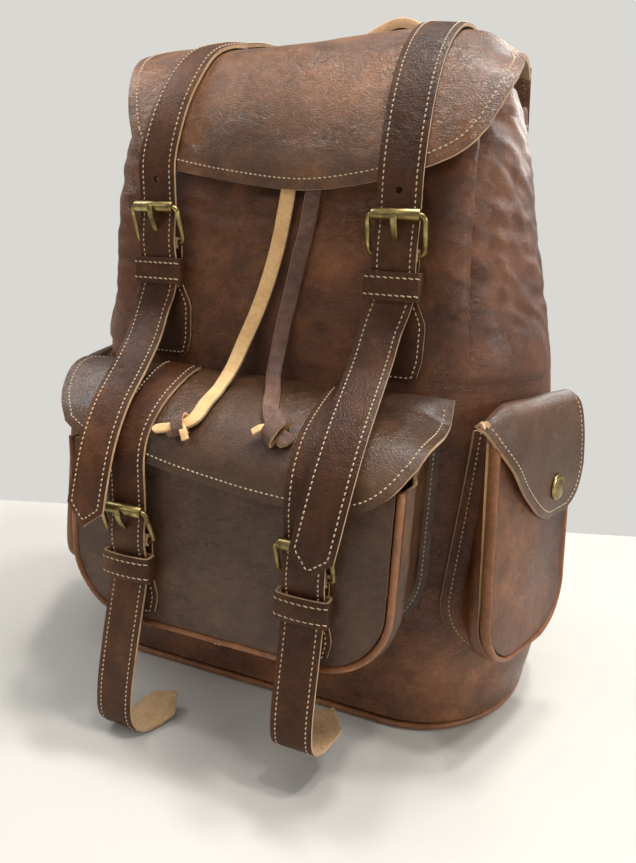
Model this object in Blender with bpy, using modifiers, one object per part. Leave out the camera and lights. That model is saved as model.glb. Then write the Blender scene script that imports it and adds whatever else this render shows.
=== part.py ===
"""Leather rucksack with a drawstring mouth, a buckled top flap and three patch pockets.

Metres, +Z up. The front faces -Y and +X is on the right as seen from the front,
which is also the wearer's right. The origin is on the ground, under the middle
of the bag.
"""
import math

import bmesh
import bpy
from mathutils import Vector

# ---------------------------------------------------------------- driving sizes
LEATHER = 0.0022            # main hide
STRAP = 0.0024              # strap leather
GAP = 0.0004                # clearance kept between touching pieces
PIPING_RADIUS = 0.0024

FRONT_Y = -0.080            # outer face of the front
BACK_Y = 0.0695             # rear edge of the wrap
MOUTH_Z = 0.424             # top edge of the wrap
BODY_LOW_Z = 0.0075         # bottom edge of the wrap
# height, half width, front face: the sack's silhouette, wide at the foot
BODY_STATIONS = [(0.000, 0.181, -0.080), (0.050, 0.187, -0.080), (0.130, 0.182, -0.080),
                 (0.242, 0.171, -0.080), (0.312, 0.156, -0.080), (0.347, 0.148, -0.0795),
                 (0.392, 0.137, -0.070), (0.442, 0.122, -0.038)]
CORNER_ACROSS = 0.085       # front corner ellipse, along X
CORNER_DEEP = 0.110         # front corner ellipse, along Y
BACK_NARROWER = 0.014       # the sides close in towards the back panel
FLAT_HALF = 0.097           # the front is flat out to here

BASE_THICK = 0.0030
BACK_PANEL_TOP = 0.450

# main flap, side view from its seam on the back panel to the front edge
FLAP_PROFILE = [(0.0690, 0.4530), (0.0450, 0.4590), (0.0050, 0.4585), (-0.0300, 0.4490),
                (-0.0600, 0.4295), (-0.0790, 0.4020), (-0.0865, 0.3720), (-0.0872, 0.3495)]
# length along the flap, its left and right edges there: it sits a little to one side
FLAP_SIDES = [(0.0, -0.119, 0.127), (0.050, -0.123, 0.129), (0.100, -0.1255, 0.131),
              (0.125, -0.122, 0.135), (0.150, -0.1145, 0.1345), (0.170, -0.108, 0.129),
              (0.190, -0.101, 0.121), (0.224, -0.094, 0.112)]
# share of the half width, length of the flap there: its front edge
FLAP_FRONT = [(-1.0, 0.1860, 0), (-0.97, 0.1950, 0), (-0.88, 0.2045, 0), (-0.65, 0.2130, 0),
              (-0.30, 0.2200, 0), (0.10, 0.2235, 0), (0.45, 0.2190, 0), (0.70, 0.2110, 0),
              (0.87, 0.2020, 0), (0.96, 0.1930, 0), (1.0, 0.1830, 0)]
FLAP_DROOP = 0.006
FLAP_STRAP_X = 0.0794       # at the buckles
FLAP_STRAP_TOP_X = 0.0670   # at the back of the flap
FLAP_STRAP_TOP_SHIFT = 0.0150

STRAP_WIDTH = 0.026
STRAP_LIFT = LEATHER / 2 + STRAP / 2 + 0.0010   # a sewn strap's middle above its flap's
HOLE_HALF = 0.0022

# front pocket
POCKET_FACE_Y = -0.1425
POCKET_HALF = 0.108
POCKET_LOW_Z = 0.076
POCKET_HIGH_Z = 0.194
POCKET_CORNER = 0.044
POCKET_STRAP_X = 0.0592
POCKET_FLAP_PROFILE = [(-0.0825, 0.2350), (-0.1050, 0.2305), (-0.1340, 0.2160),
                       (-0.1490, 0.1985), (-0.1530, 0.1765)]
POCKET_FLAP_SIDES = [(0.0, -0.127, 0.1215), (0.014, -0.1335, 0.1225), (0.030, -0.1335, 0.1220),
                     (0.046, -0.128, 0.1205), (0.060, -0.120, 0.1175), (0.075, -0.108, 0.1125),
                     (0.101, -0.092, 0.106)]
POCKET_FLAP_FRONT = [(-1.0, 0.0730, 0), (-0.95, 0.0775, 0), (-0.867, 0.0815, 0),
                     (-0.60, 0.0870, 0), (-0.275, 0.0934, 0), (0.22, 0.0990, 0),
                     (0.50, 0.1000, 0), (0.70, 0.0985, 0), (0.84, 0.0940, 0),
                     (0.93, 0.0860, 0), (0.98, 0.0765, 0), (1.0, 0.0670, 0)]

# side pockets: the face's middle, and how far its outward normal turns to the front
SIDE_FACE_X = 0.1786
SIDE_FACE_Y = -0.0462
SIDE_TURN = math.radians(22.0)
SIDE_HALF = 0.0520
SIDE_FOOT = 0.78            # the gusset narrows towards the sack
SIDE_LOW_Z = 0.068
SIDE_HIGH_Z = 0.214
SIDE_CORNER = 0.034
SIDE_FLAP_TOP = 0.2330
SIDE_FLAP_TIP = 0.1560
SIDE_FLAP_SIDES = [(0.0, -0.0590, 0.0560), (0.010, -0.0600, 0.0575), (0.030, -0.0535, 0.0590),
                   (0.060, -0.0500, 0.0590), (0.095, -0.0500, 0.0590)]
SIDE_FLAP_FRONT = [(-1.0, 0.0270, 0), (-0.93, 0.0360, 0), (-0.77, 0.0475, 0),
                   (-0.58, 0.0600, 0), (-0.36, 0.0710, 0), (-0.10, 0.0810, 0),
                   (0.20, 0.0865, 0), (0.50, 0.0865, 0), (0.76, 0.0805, 0),
                   (0.92, 0.0705, 0), (1.0, 0.0560, 0)]
SIDE_LEAN = 0.080           # the pocket leans in with the sack, metres for each metre up
SNAP_T = 0.0180              # the stud sits behind the middle of the pocket
SNAP_Z = 0.1765

FLANGE = 0.0080             # sewn flange of each pocket gusset

# buckles: heights of roller and bar, measured distances out from the leather below
ROLLER_RISE = 0.0215        # roller above bar
BAR_OUT = 0.0046
ROLLER_OUT = 0.0136
WIRE = 0.0016
ROLLER_RADIUS = 0.0035
ROLLER_HALF = 0.0140
FRAME_HALF = 0.0168
CHAPE_NECK = 0.0260
PRONG_WIRE = 0.0010
FLAP_BAR_Z = 0.3165
POCKET_BAR_Z = 0.1370
KEEPER_HEIGHT = 0.0165
KEEPER_HALF = 0.0172
KEEPER_OUT = 0.0076
KEEPER_DEEP = 0.0048        # half its outer depth
KEEPER_BELOW_BAR = 0.0178   # middle of the keeper under the bar

LACE_RADIUS = 0.0025
DRAWSTRING_RADIUS = 0.0015
DRAWSTRING_Z = 0.4070

X_AXIS = Vector((1, 0, 0))
Z_AXIS = Vector((0, 0, 1))

for old in list(bpy.data.objects):
    bpy.data.objects.remove(old, do_unlink=True)

PARTS = bpy.data.collections.new("leather_backpack")
bpy.context.scene.collection.children.link(PARTS)


# ---------------------------------------------------------------- general tools
def material(name, colour, roughness, metallic=0.0):
    made = bpy.data.materials.new(name)
    made.use_nodes = True
    shader = made.node_tree.nodes["Principled BSDF"]
    shader.inputs["Base Color"].default_value = (*colour, 1.0)
    shader.inputs["Roughness"].default_value = roughness
    shader.inputs["Metallic"].default_value = metallic
    return made


FINISH = {
    "hide": ((0.115, 0.042, 0.022), 0.42, 0.0),
    "strap": ((0.085, 0.034, 0.020), 0.45, 0.0),
    "piping": ((0.230, 0.085, 0.040), 0.50, 0.0),
    "suede": ((0.560, 0.340, 0.170), 0.85, 0.0),
    "brass": ((0.420, 0.290, 0.100), 0.30, 1.0),
}


def finish(item, kind, pivot=None):
    """Give an object its own material, its collection and its origin."""
    PARTS.objects.link(item)
    item.data.materials.append(material(item.name + "_finish", *FINISH[kind]))
    if pivot is not None:
        shift = Vector(pivot)
        if item.type == "CURVE":
            for point in item.data.splines[0].points:
                point.co = (*(Vector(point.co[:3]) - shift), 1.0)
        else:
            for vertex in item.data.vertices:
                vertex.co -= shift
        item.location = shift
    return item


def smooth(points, count):
    """A Catmull-Rom curve through the points, cut into count even steps."""
    pts = [Vector(p) for p in points]
    pts = [2 * pts[0] - pts[1]] + pts + [2 * pts[-1] - pts[-2]]
    fine = []
    for i in range(1, len(pts) - 2):
        for k in range(24):
            t = k / 24
            a, b, c, d = pts[i - 1], pts[i], pts[i + 1], pts[i + 2]
            fine.append(0.5 * (2 * b + (c - a) * t + (2 * a - 5 * b + 4 * c - d) * t * t
                               + (3 * b - a - 3 * c + d) * t ** 3))
    fine.append(pts[-2])
    return spread(fine, count)


def spread(line, count):
    """Points at even distances along a polyline."""
    reach = [0.0]
    for a, b in zip(line, line[1:]):
        reach.append(reach[-1] + (b - a).length)
    out = []
    at = 0
    for k in range(count + 1):
        want = reach[-1] * k / count
        while at < len(line) - 2 and reach[at + 1] < want:
            at += 1
        step = reach[at + 1] - reach[at]
        out.append(line[at].lerp(line[at + 1], min(1.0, (want - reach[at]) / step)))
    return out


def sheet(name, rows, thick, kind, side=0.0, holes=(), closed=False, pivot=None):
    """A shell from a grid of points; side -1, 0 or 1 says where the thickness goes."""
    mesh = bpy.data.meshes.new(name)
    bm = bmesh.new()
    grid = [[bm.verts.new(p) for p in row] for row in rows]
    ends = len(rows) if closed else len(rows) - 1
    for i in range(ends):
        upper, lower = grid[i], grid[(i + 1) % len(grid)]
        for j in range(len(upper) - 1):
            if (i, j) not in holes:
                bm.faces.new((upper[j], lower[j], lower[j + 1], upper[j + 1]))
    bm.to_mesh(mesh)
    bm.free()
    item = bpy.data.objects.new(name, mesh)
    shell = item.modifiers.new("thickness", "SOLIDIFY")
    shell.thickness = thick
    shell.offset = side
    shell.use_even_offset = True
    return finish(item, kind, pivot)


def plate(name, outline, thick, kind, direction):
    """A flat piece: a filled outline, thickened towards direction."""
    mesh = bpy.data.meshes.new(name)
    bm = bmesh.new()
    face = bm.faces.new([bm.verts.new(p) for p in outline])
    bm.normal_update()
    if face.normal.dot(Vector(direction)) < 0:
        face.normal_flip()
    bm.to_mesh(mesh)
    bm.free()
    item = bpy.data.objects.new(name, mesh)
    shell = item.modifiers.new("thickness", "SOLIDIFY")
    shell.thickness = thick
    shell.offset = 1.0
    return finish(item, kind)


def wire(name, points, radius, kind, closed=False, sides=2, pivot=None):
    """A round bar or cord along a polyline."""
    curve = bpy.data.curves.new(name, "CURVE")
    curve.dimensions = "3D"
    spline = curve.splines.new("POLY")
    spline.points.add(len(points) - 1)
    for slot, point in zip(spline.points, points):
        slot.co = (*point, 1.0)
    spline.use_cyclic_u = closed
    curve.bevel_depth = radius
    curve.bevel_resolution = sides
    curve.use_fill_caps = True
    return finish(bpy.data.objects.new(name, curve), kind, pivot)


def ribbon(name, centre, width, thick, kind, across=X_AXIS, tip=0.0, slot=None, pivot=None):
    """A strap along a path; width may change by row; slot rows keep a hole in the middle."""
    rows = []
    for i, point in enumerate(centre):
        half = (width[i] if isinstance(width, list) else width) / 2
        ahead = (centre[min(i + 1, len(centre) - 1)] - centre[max(i - 1, 0)]).normalized()
        level = (across - ahead * across.dot(ahead)).normalized()
        row = []
        for place in (-half, -HOLE_HALF, HOLE_HALF, half):
            reach = tip * (1 - abs(place) / half) if i == len(centre) - 1 else 0.0
            row.append(point + level * place + ahead * reach)
        rows.append(row)
    holes = {(i, 1) for i in range(*slot)} if slot else ()
    return sheet(name, rows, thick, kind, holes=holes, pivot=pivot)


def inset(outline, depth):
    """A closed level outline, drawn in by depth; it runs anticlockwise from above."""
    drawn = []
    for k, point in enumerate(outline):
        before = (point - outline[k - 1]).normalized()
        after = (outline[(k + 1) % len(outline)] - point).normalized()
        ahead = (before + after).normalized()
        corner = max(0.5, ahead.dot(after))
        drawn.append(point + Vector((-ahead.y, ahead.x, 0)) * (depth / corner))
    return drawn


# ---------------------------------------------------------------- the sack's surface
def station(z):
    """Half width and front face of the sack at a height."""
    last = BODY_STATIONS[0]
    for here in BODY_STATIONS[1:]:
        if z <= here[0]:
            break
        last = here
    part = min(1.0, max(0.0, (z - last[0]) / (here[0] - last[0]))) if here[0] > last[0] else 1.0
    return (last[1] + (here[1] - last[1]) * part, last[2] + (here[2] - last[2]) * part)


def sack_point(u, z):
    """Point on the sack: u is 0 at the middle of the front and +-1 at the rear edges."""
    half, front = station(z)
    across = min(CORNER_ACROSS, max(0.03, half - FLAT_HALF))
    turn_y = front + CORNER_DEEP
    size = abs(u)
    if size < 0.3:
        x, y = (half - across) * size / 0.3, front
    elif size < 0.75:
        angle = math.radians(90) * (size - 0.3) / 0.45
        x = half - across + across * math.sin(angle)
        y = turn_y - CORNER_DEEP * math.cos(angle)
    else:
        part = (size - 0.75) / 0.25
        x = half - BACK_NARROWER * part ** 2
        y = turn_y + (BACK_Y - turn_y) * part
    return Vector((math.copysign(x, u), y, z))


def sack_x(y, z):
    """Half width of the sack at a place along its depth."""
    half, front = station(z)
    across = min(CORNER_ACROSS, max(0.03, half - FLAT_HALF))
    turn_y = front + CORNER_DEEP
    if y >= turn_y:
        part = min(1.0, (y - turn_y) / (BACK_Y - turn_y))
        return half - BACK_NARROWER * part ** 2
    deep = min(1.0, (turn_y - y) / CORNER_DEEP)
    return half - across + across * math.sqrt(1 - deep * deep)


def body():
    columns = [-1 + 0.25 * k / 3 for k in range(3)] + [-0.75 + 0.45 * k / 6 for k in range(6)]
    columns += [-0.3 + 0.6 * k / 4 for k in range(5)] + [0.3 + 0.45 * k / 6 for k in range(1, 7)]
    columns += [0.75 + 0.25 * k / 3 for k in range(1, 4)]
    heights = [BODY_LOW_Z, 0.025, 0.05, 0.09, 0.13, 0.185, 0.242, 0.277, 0.312, 0.347, 0.375,
               0.400, MOUTH_Z]
    rows = [[sack_point(u, z) for u in columns] for z in heights]
    sheet("body_wrap", rows, LEATHER, "hide", side=1.0)

    edge = [Vector((sack_point(1, z).x - 0.001, BACK_Y + GAP, z)) for z in heights[:-2]]
    edge += [Vector((0.129, BACK_Y + GAP, 0.410)), Vector((0.126, BACK_Y + GAP, BACK_PANEL_TOP))]
    outline = edge + [Vector((-p.x, p.y, p.z)) for p in reversed(edge)]
    plate("back_panel", outline, LEATHER, "hide", (0, 1, 0))

    foot = [sack_point(-1 + 2 * k / 40, 0.0) for k in range(41)]
    plate("base_panel", inset(foot, PIPING_RADIUS * 2 + 0.0008), BASE_THICK, "hide", (0, 0, 1))
    rim = [Vector((p.x, p.y, PIPING_RADIUS + 0.0006)) for p in inset(foot, PIPING_RADIUS)]
    wire("base_piping", rim, PIPING_RADIUS, "piping", closed=True, sides=1)

    mouth = [sack_point(-1 + 2 * (k + 0.5) / 36, DRAWSTRING_Z) for k in range(36)]
    cord = inset(mouth, LEATHER + DRAWSTRING_RADIUS + 0.0030)
    wire("drawstring", cord, DRAWSTRING_RADIUS, "suede", closed=True, sides=1)


# ---------------------------------------------------------------- patch pockets
class Side:
    """A pocket's own directions: out from its face, along it, and up."""

    def __init__(self, x, y, turn, sign=1, lean=0.0, foot=0.0):
        self.lean, self.foot = lean, foot
        self.origin = Vector((sign * x, y, 0))
        self.out = Vector((sign * math.cos(turn), -math.sin(turn), 0))
        self.along = Vector((sign * math.sin(turn), math.cos(turn), 0))

    def at(self, t, z, n=0.0):
        return (self.origin + self.along * t + self.out * (n - self.lean * (z - self.foot))
                + Z_AXIS * z)

    def sack(self, t, z):
        """How far behind the face the sack's surface lies."""
        near, far = 0.0, -0.12
        for _ in range(40):
            n = (near + far) / 2
            p = self.at(t, z, n)
            inside = p.y > station(z)[1] and abs(p.x) < sack_x(p.y, z)
            if inside:
                far = n
            else:
                near = n
        return near


FRONT = Side(0.0, POCKET_FACE_Y, 0.0)
FRONT.out = Vector((0, -1, 0))
FRONT.along = Vector((1, 0, 0))


def u_path(half, low, high, radius, steps=5):
    """Down one side, round the bottom and up the other, with outward directions."""
    path = []
    for k in range(3):
        path.append((-half, high + (low + radius - high) * k / 3, -1, 0))
    for k in range(steps + 1):
        a = math.radians(90) * k / steps
        path.append((-half + radius - radius * math.cos(a), low + radius - radius * math.sin(a),
                     -math.cos(a), -math.sin(a)))
    for k in range(1, 4):
        path.append((-half + radius + (2 * half - 2 * radius) * k / 4, low, 0, -1))
    right = [(-t, z, -nt, nz) for t, z, nt, nz in reversed(path[:3 + steps + 1])]
    return path + right


def pocket(prefix, suffix, side, half, low, high, radius, foot=1.0, narrow=0.0, rise=0.0):
    """foot: how much narrower the gusset is at the sack; narrow: more so at its front's top."""
    path = u_path(half, low, high, radius)
    rows = []
    for t, z, nt, nz in path:
        row = []
        up = max(0.0, (z - low - radius) / (high - low - radius))
        for reach, lift in ((FLANGE, 0.0026), (FLANGE / 2, 0.0025), (0.0, 0.0024)):
            foot_t = t * (foot - (narrow * up if t < 0 else 0.0)) + nt * reach
            foot_z = z + nz * reach + rise * up
            row.append(side.at(foot_t, foot_z, side.sack(foot_t, foot_z) + lift + 0.0010 * up))
        rows.append(row + [side.at(t, z, -0.0025)])
    sheet(f"{prefix}_gusset{suffix}", rows, LEATHER * 0.9, "hide")
    outline = [side.at(t - nt * 0.0031, z - nz * 0.0031) for t, z, nt, nz in path]
    plate(f"{prefix}_panel{suffix}", outline, LEATHER, "hide", side.out)
    seam = [side.at(t, z, 0.0010) for t, z, nt, nz in path]
    wire(f"{prefix}_piping{suffix}", seam, PIPING_RADIUS, "piping")


# ---------------------------------------------------------------- flaps and their straps
def through(rows):
    """A smooth curve through rows of (place, value, value), as a function of place."""
    line = smooth(rows, 80)

    def at(place):
        for a, b in zip(line, line[1:]):
            if place <= b.x:
                break
        return a.lerp(b, min(1.0, max(0.0, (place - a.x) / (b.x - a.x))))

    return at


class Flap:
    """A flap surface: l metres along its side view, x metres across it."""

    def __init__(self, side, profile, sides, front, droop=0.0):
        self.side = side
        self.line = smooth([(n, z, 0) for n, z in profile], 60)
        self.length = sum((b - a).length for a, b in zip(self.line, self.line[1:]))
        self.sides, self.front = through(sides), through(front)
        self.droop = droop

    def span(self, l):
        """Middle and half width at l."""
        here = self.sides(l)
        return (here.y + here.z) / 2, (here.z - here.y) / 2

    def at(self, l, x):
        part = max(0.0, min(0.99999, l / self.length)) * (len(self.line) - 1)
        low = int(part)
        n, z, _ = self.line[low].lerp(self.line[low + 1], part - low)
        middle, half = self.span(l)
        fall = self.droop * abs((x - middle) / half) ** 3 * min(1.0, l / 0.06)
        return self.side.at(x, z - fall, n)

    def normal(self, l, x):
        step = 0.0015
        down = self.at(l + step, x) - self.at(l - step, x)
        right = self.at(l, x + step) - self.at(l, x - step)
        away = right.cross(down).normalized()
        return away if away.dot(self.side.out + Z_AXIS) > 0 else -away

    def edge(self, x):
        l = self.length
        for _ in range(6):
            middle, half = self.span(l)
            l = self.front(max(-1.0, min(1.0, (x - middle) / half))).y
        return min(l, self.length)

    def build(self, name, rows, columns, pivot):
        grid = []
        for i in range(rows + 1):
            row = []
            for j in range(columns + 1):
                c = math.sin(math.radians(90) * (2 * j / columns - 1))
                l = min(self.length, self.front(c).y) * i / rows
                middle, half = self.span(l)
                row.append(self.at(l, middle + c * half))
            grid.append(row)
        return sheet(name, grid, LEATHER, "hide", pivot=pivot)

    def strap(self, name, start_x, end_x, start, end, pivot):
        """The part of a strap that is sewn down on the flap."""
        rows = []
        count = 12
        for i in range(count + 1):
            l = start + (end - start) * i / count
            middle = start_x + (end_x - start_x) * (i / count) ** 1.4
            row = []
            for place in (-STRAP_WIDTH / 2, 0.0, STRAP_WIDTH / 2):
                x = middle + place
                row.append(self.at(l, x) + self.normal(l, x) * STRAP_LIFT)
            rows.append(row)
        return sheet(name, rows, STRAP, "strap", pivot=pivot)


def front_profile(points):
    return [(POCKET_FACE_Y - y, z) for y, z in points]


MAIN_FLAP = Flap(FRONT, front_profile(FLAP_PROFILE), FLAP_SIDES, FLAP_FRONT, FLAP_DROOP)
POCKET_FLAP = Flap(FRONT, front_profile(POCKET_FLAP_PROFILE), POCKET_FLAP_SIDES,
                   POCKET_FLAP_FRONT)
MAIN_HINGE = Vector((0, FLAP_PROFILE[0][0], FLAP_PROFILE[0][1]))
POCKET_HINGE = Vector((0, POCKET_FLAP_PROFILE[0][0], POCKET_FLAP_PROFILE[0][1]))


def flaps():
    MAIN_FLAP.build("main_flap", 12, 18, MAIN_HINGE)
    POCKET_FLAP.build("pocket_flap", 8, 16, POCKET_HINGE)
    for word, sign in (("left", -1), ("right", 1)):
        top_x = FLAP_STRAP_TOP_SHIFT + sign * FLAP_STRAP_TOP_X
        MAIN_FLAP.strap(f"flap_strap_{word}", top_x, sign * FLAP_STRAP_X,
                        0.012, MAIN_FLAP.edge(sign * FLAP_STRAP_X) - 0.002, MAIN_HINGE)
        POCKET_FLAP.strap(f"pocket_strap_{word}", sign * POCKET_STRAP_X, sign * POCKET_STRAP_X,
                          0.010, POCKET_FLAP.edge(sign * POCKET_STRAP_X) - 0.002, POCKET_HINGE)


# ---------------------------------------------------------------- buckled straps
def threaded(face_y, bar_z):
    """Height and depth of a strap's middle as it goes through its buckle and keeper."""
    outs = ((ROLLER_RISE, 0.0086), (0.0140, 0.0092), (0.0075, 0.0102), (0.0, 0.0104),
            (-0.0055, 0.0096), (-0.0098, 0.0083), (-KEEPER_BELOW_BAR, 0.0076),
            (-0.0255, 0.0078))
    return [(face_y - out, bar_z + rise) for rise, out in outs]


def tails():
    """The loose ends: through the buckle, through the keeper, and hanging."""
    hang = [(-0.0900, 0.2740), (-0.1030, 0.2560), (-0.1225, 0.2390), (-0.1450, 0.2205),
            (-0.1600, 0.1990), (-0.1660, 0.1760), (-0.1672, 0.1580)]
    places = {"left": (-0.0840, -0.0820, -0.0790, -0.0762, -0.0750, -0.0760, -0.0780),
              "right": (0.0748, 0.0741, 0.0741, 0.0746, 0.0736, 0.0710, 0.0682)}
    for word, sign in (("left", -1), ("right", 1)):
        top_x = sign * FLAP_STRAP_X
        start = MAIN_FLAP.at(MAIN_FLAP.edge(top_x), top_x)
        side_view = [(start.y - STRAP_LIFT, start.z - 0.001)] + threaded(FRONT_Y, FLAP_BAR_Z) + hang
        across = [top_x] * (len(side_view) - len(hang)) + list(places[word])
        path = [(x, y, z) for x, (y, z) in zip(across, side_view)]
        centre = smooth(path, 34)
        hole = [i for i, p in enumerate(centre)
                if FLAP_BAR_Z - 0.003 < p.z < FLAP_BAR_Z + 0.020]
        ribbon(f"flap_strap_tail_{word}", centre, STRAP_WIDTH, STRAP, "strap", tip=0.012,
               slot=(hole[0], hole[-1]), pivot=start)

    face = POCKET_FACE_Y - LEATHER
    hang = [(-0.1560, 0.0920), (-0.1605, 0.0620), (-0.1632, 0.0340), (-0.1615, 0.0130),
            (-0.1530, 0.0036), (-0.1400, 0.0034), (-0.1270, 0.0080)]
    drift = {"left": (-POCKET_STRAP_X, -0.0075, 0.0170, 0.0),
             "right": (POCKET_STRAP_X, 0.0030, 0.0090, 0.026)}
    for word, (top_x, hung, curled, lift) in drift.items():
        start = POCKET_FLAP.at(POCKET_FLAP.edge(top_x), top_x)
        side_view = [(start.y - STRAP_LIFT, start.z - 0.001)] + threaded(face, POCKET_BAR_Z)
        high = hang[0][1]
        side_view += [(y, z + lift * (1 - z / high)) for y, z in hang]
        path = []
        for y, z in side_view:
            part = max(0.0, (POCKET_BAR_Z - 0.03 - z) / POCKET_BAR_Z)
            curl = max(0.0, (y + 0.1632) / 0.036) if z < 0.045 else 0.0
            path.append((top_x + hung * part + curled * curl, y - 0.003 * part, z))
        centre = smooth(path, 34)
        hole = [i for i, p in enumerate(centre)
                if POCKET_BAR_Z - 0.003 < p.z < POCKET_BAR_Z + 0.020]
        ribbon(f"pocket_strap_tail_{word}", centre, STRAP_WIDTH, STRAP, "strap", tip=0.010,
               slot=(hole[0], hole[-1]), pivot=(top_x, start.y, start.z))


def chape(name, x, face_y, bar_z, low_z, patch_width):
    """The short strap that holds a buckle: a sewn patch, then a turn round the bar."""
    flat = GAP + 0.0010
    turn = 0.00295
    shoulder = bar_z - 0.037
    line = [(flat, low_z), (flat, (low_z + shoulder) / 2), (flat, shoulder),
            (flat, bar_z - 0.033), (flat, bar_z - 0.029), (flat, bar_z - 0.022),
            (flat, bar_z - 0.009)]
    widths = [patch_width, patch_width, patch_width, patch_width * 0.93, patch_width * 0.72,
              CHAPE_NECK, CHAPE_NECK]
    for k in range(9):
        angle = math.radians(180 - 250 * k / 8)
        line.append((BAR_OUT + turn * math.cos(angle), bar_z + turn * math.sin(angle)))
        widths.append(CHAPE_NECK)
    centre = [Vector((x, face_y - out, z)) for out, z in line]
    ribbon(name, centre, widths, 0.0020, "strap", slot=(6, 15))


def ring(name, x, y, z, half, deep, height, thick, kind, bulge=0.0):
    """A keeper: a closed loop of leather round a strap."""
    rows = []
    outline = []
    corner = min(0.0022, deep * 0.9)
    for cx, cy, first in ((half - corner, deep - corner, 0), (corner - half, deep - corner, 90),
                          (corner - half, corner - deep, 180), (half - corner, corner - deep, 270)):
        for k in range(4):
            a = math.radians(first + 90 * k / 3)
            outline.append((x + cx + corner * math.cos(a), y + cy + corner * math.sin(a)))
    for px, py in outline:
        lift = bulge if py < y else 0.0
        rows.append([Vector((px, py, z - height / 2)), Vector((px, py - lift, z)),
                     Vector((px, py, z + height / 2))])
    sheet(name, rows, thick, kind, side=-1.0, closed=True)


def tube(name, centre, radius, inner, half, kind, sides=16):
    """A roller: an open barrel along X with a wall."""
    rows = []
    for k in range(sides):
        a = 2 * math.pi * k / sides
        y, z = radius * math.cos(a), radius * math.sin(a)
        rows.append([centre + Vector((half, y, z)), centre + Vector((-half, y, z))])
    sheet(name, rows, radius - inner, kind, side=1.0, closed=True, pivot=centre)


def buckle(prefix, word, x, face_y, bar_z):
    bar = Vector((x, face_y - BAR_OUT, bar_z))
    top = Vector((x, face_y - ROLLER_OUT, bar_z + ROLLER_RISE))
    up = top - bar
    rise = up.length
    up.normalize()
    corner = 0.0035
    loop = []
    for cx, cz, first in ((FRAME_HALF - corner, rise - corner, 0),
                          (corner - FRAME_HALF, rise - corner, 90),
                          (corner - FRAME_HALF, corner, 180), (FRAME_HALF - corner, corner, 270)):
        for k in range(4):
            a = math.radians(first + 90 * k / 3)
            loop.append(bar + X_AXIS * (cx + corner * math.cos(a))
                        + up * (cz + corner * math.sin(a)))
    wire(f"{prefix}_frame_{word}", loop, WIRE, "brass", closed=True, pivot=bar)
    tube(f"{prefix}_roller_{word}", top, ROLLER_RADIUS, WIRE + 0.0003, ROLLER_HALF - 0.0004,
         "brass")
    eye = WIRE + 0.00025 + PRONG_WIRE
    line = []
    for k in range(9):
        a = math.radians(20 - 270 * k / 8)
        line.append((BAR_OUT + eye * math.cos(a), bar_z + eye * math.sin(a)))
    tip_out = ROLLER_OUT + ROLLER_RADIUS + PRONG_WIRE + 0.0004
    line += [(BAR_OUT + 0.0055, bar_z + 0.0070), (tip_out - 0.0022, bar_z + 0.0145),
             (tip_out, bar_z + ROLLER_RISE - 0.0025),
             (tip_out, bar_z + ROLLER_RISE + 0.0010)]
    wire(f"{prefix}_prong_{word}", [Vector((x, face_y - out, z)) for out, z in line],
         PRONG_WIRE, "brass", pivot=bar)


def fastenings():
    for word, sign in (("left", -1), ("right", 1)):
        x = sign * FLAP_STRAP_X
        chape(f"flap_chape_{word}", x, FRONT_Y, FLAP_BAR_Z, 0.2420, 0.0400)
        ring(f"flap_keeper_{word}", x, FRONT_Y - KEEPER_OUT, FLAP_BAR_Z - KEEPER_BELOW_BAR,
             KEEPER_HALF, KEEPER_DEEP, KEEPER_HEIGHT, 0.0020, "strap")
        buckle("flap_buckle", word, x, FRONT_Y, FLAP_BAR_Z)
        x = sign * POCKET_STRAP_X
        face = POCKET_FACE_Y - LEATHER
        chape(f"pocket_chape_{word}", x, face, POCKET_BAR_Z, 0.0830, 0.0330)
        ring(f"pocket_keeper_{word}", x, face - KEEPER_OUT, POCKET_BAR_Z - KEEPER_BELOW_BAR,
             KEEPER_HALF, KEEPER_DEEP, KEEPER_HEIGHT, 0.0020, "strap", bulge=0.0016)
        buckle("pocket_buckle", word, x, face, POCKET_BAR_Z)


# ---------------------------------------------------------------- side pockets
def side_pockets():
    for word, sign in (("left", -1), ("right", 1)):
        side = Side(SIDE_FACE_X, SIDE_FACE_Y, SIDE_TURN, sign, SIDE_LEAN, SIDE_LOW_Z)
        pocket("side_pocket", f"_{word}", side, SIDE_HALF, SIDE_LOW_Z, SIDE_HIGH_Z, SIDE_CORNER,
               SIDE_FOOT, 0.16, 0.002)
        root = side.sack(0.004, SIDE_FLAP_TOP) + 0.0030
        profile = [(root, SIDE_FLAP_TOP), (root * 0.3, SIDE_FLAP_TOP - 0.0005),
                   (0.0045, SIDE_FLAP_TOP - 0.008), (0.0075, SIDE_FLAP_TOP - 0.030),
                   (0.0075, SIDE_FLAP_TIP + 0.012), (0.0065, SIDE_FLAP_TIP)]
        flap = Flap(side, profile, SIDE_FLAP_SIDES, SIDE_FLAP_FRONT)
        hinge = side.at(0, SIDE_FLAP_TOP, root)
        flap.build(f"side_pocket_flap_{word}", 8, 12, hinge)
        stud = side.at(SNAP_T, SNAP_Z, 0.0)
        away = (side.out + Z_AXIS * side.lean).normalized()
        snap(f"snap_cap_{word}", stud, away, 0.0075 + LEATHER / 2 + 0.0004, 0.0090, 0.0024)
        snap(f"snap_socket_{word}", stud, away, LEATHER + 0.0004, 0.0070, 0.0026)


def snap(name, foot, out, start, radius, height):
    """A low round press stud with a rounded edge."""
    mesh = bpy.data.meshes.new(name)
    bm = bmesh.new()
    bmesh.ops.create_cone(bm, cap_ends=True, segments=16, radius1=radius, radius2=radius * 0.7,
                          depth=height)
    turn = Z_AXIS.rotation_difference(out)
    for vertex in bm.verts:
        vertex.co = foot + turn @ (vertex.co + Vector((0, 0, start + height / 2)))
    bm.to_mesh(mesh)
    bm.free()
    finish(bpy.data.objects.new(name, mesh), "brass")


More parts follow.
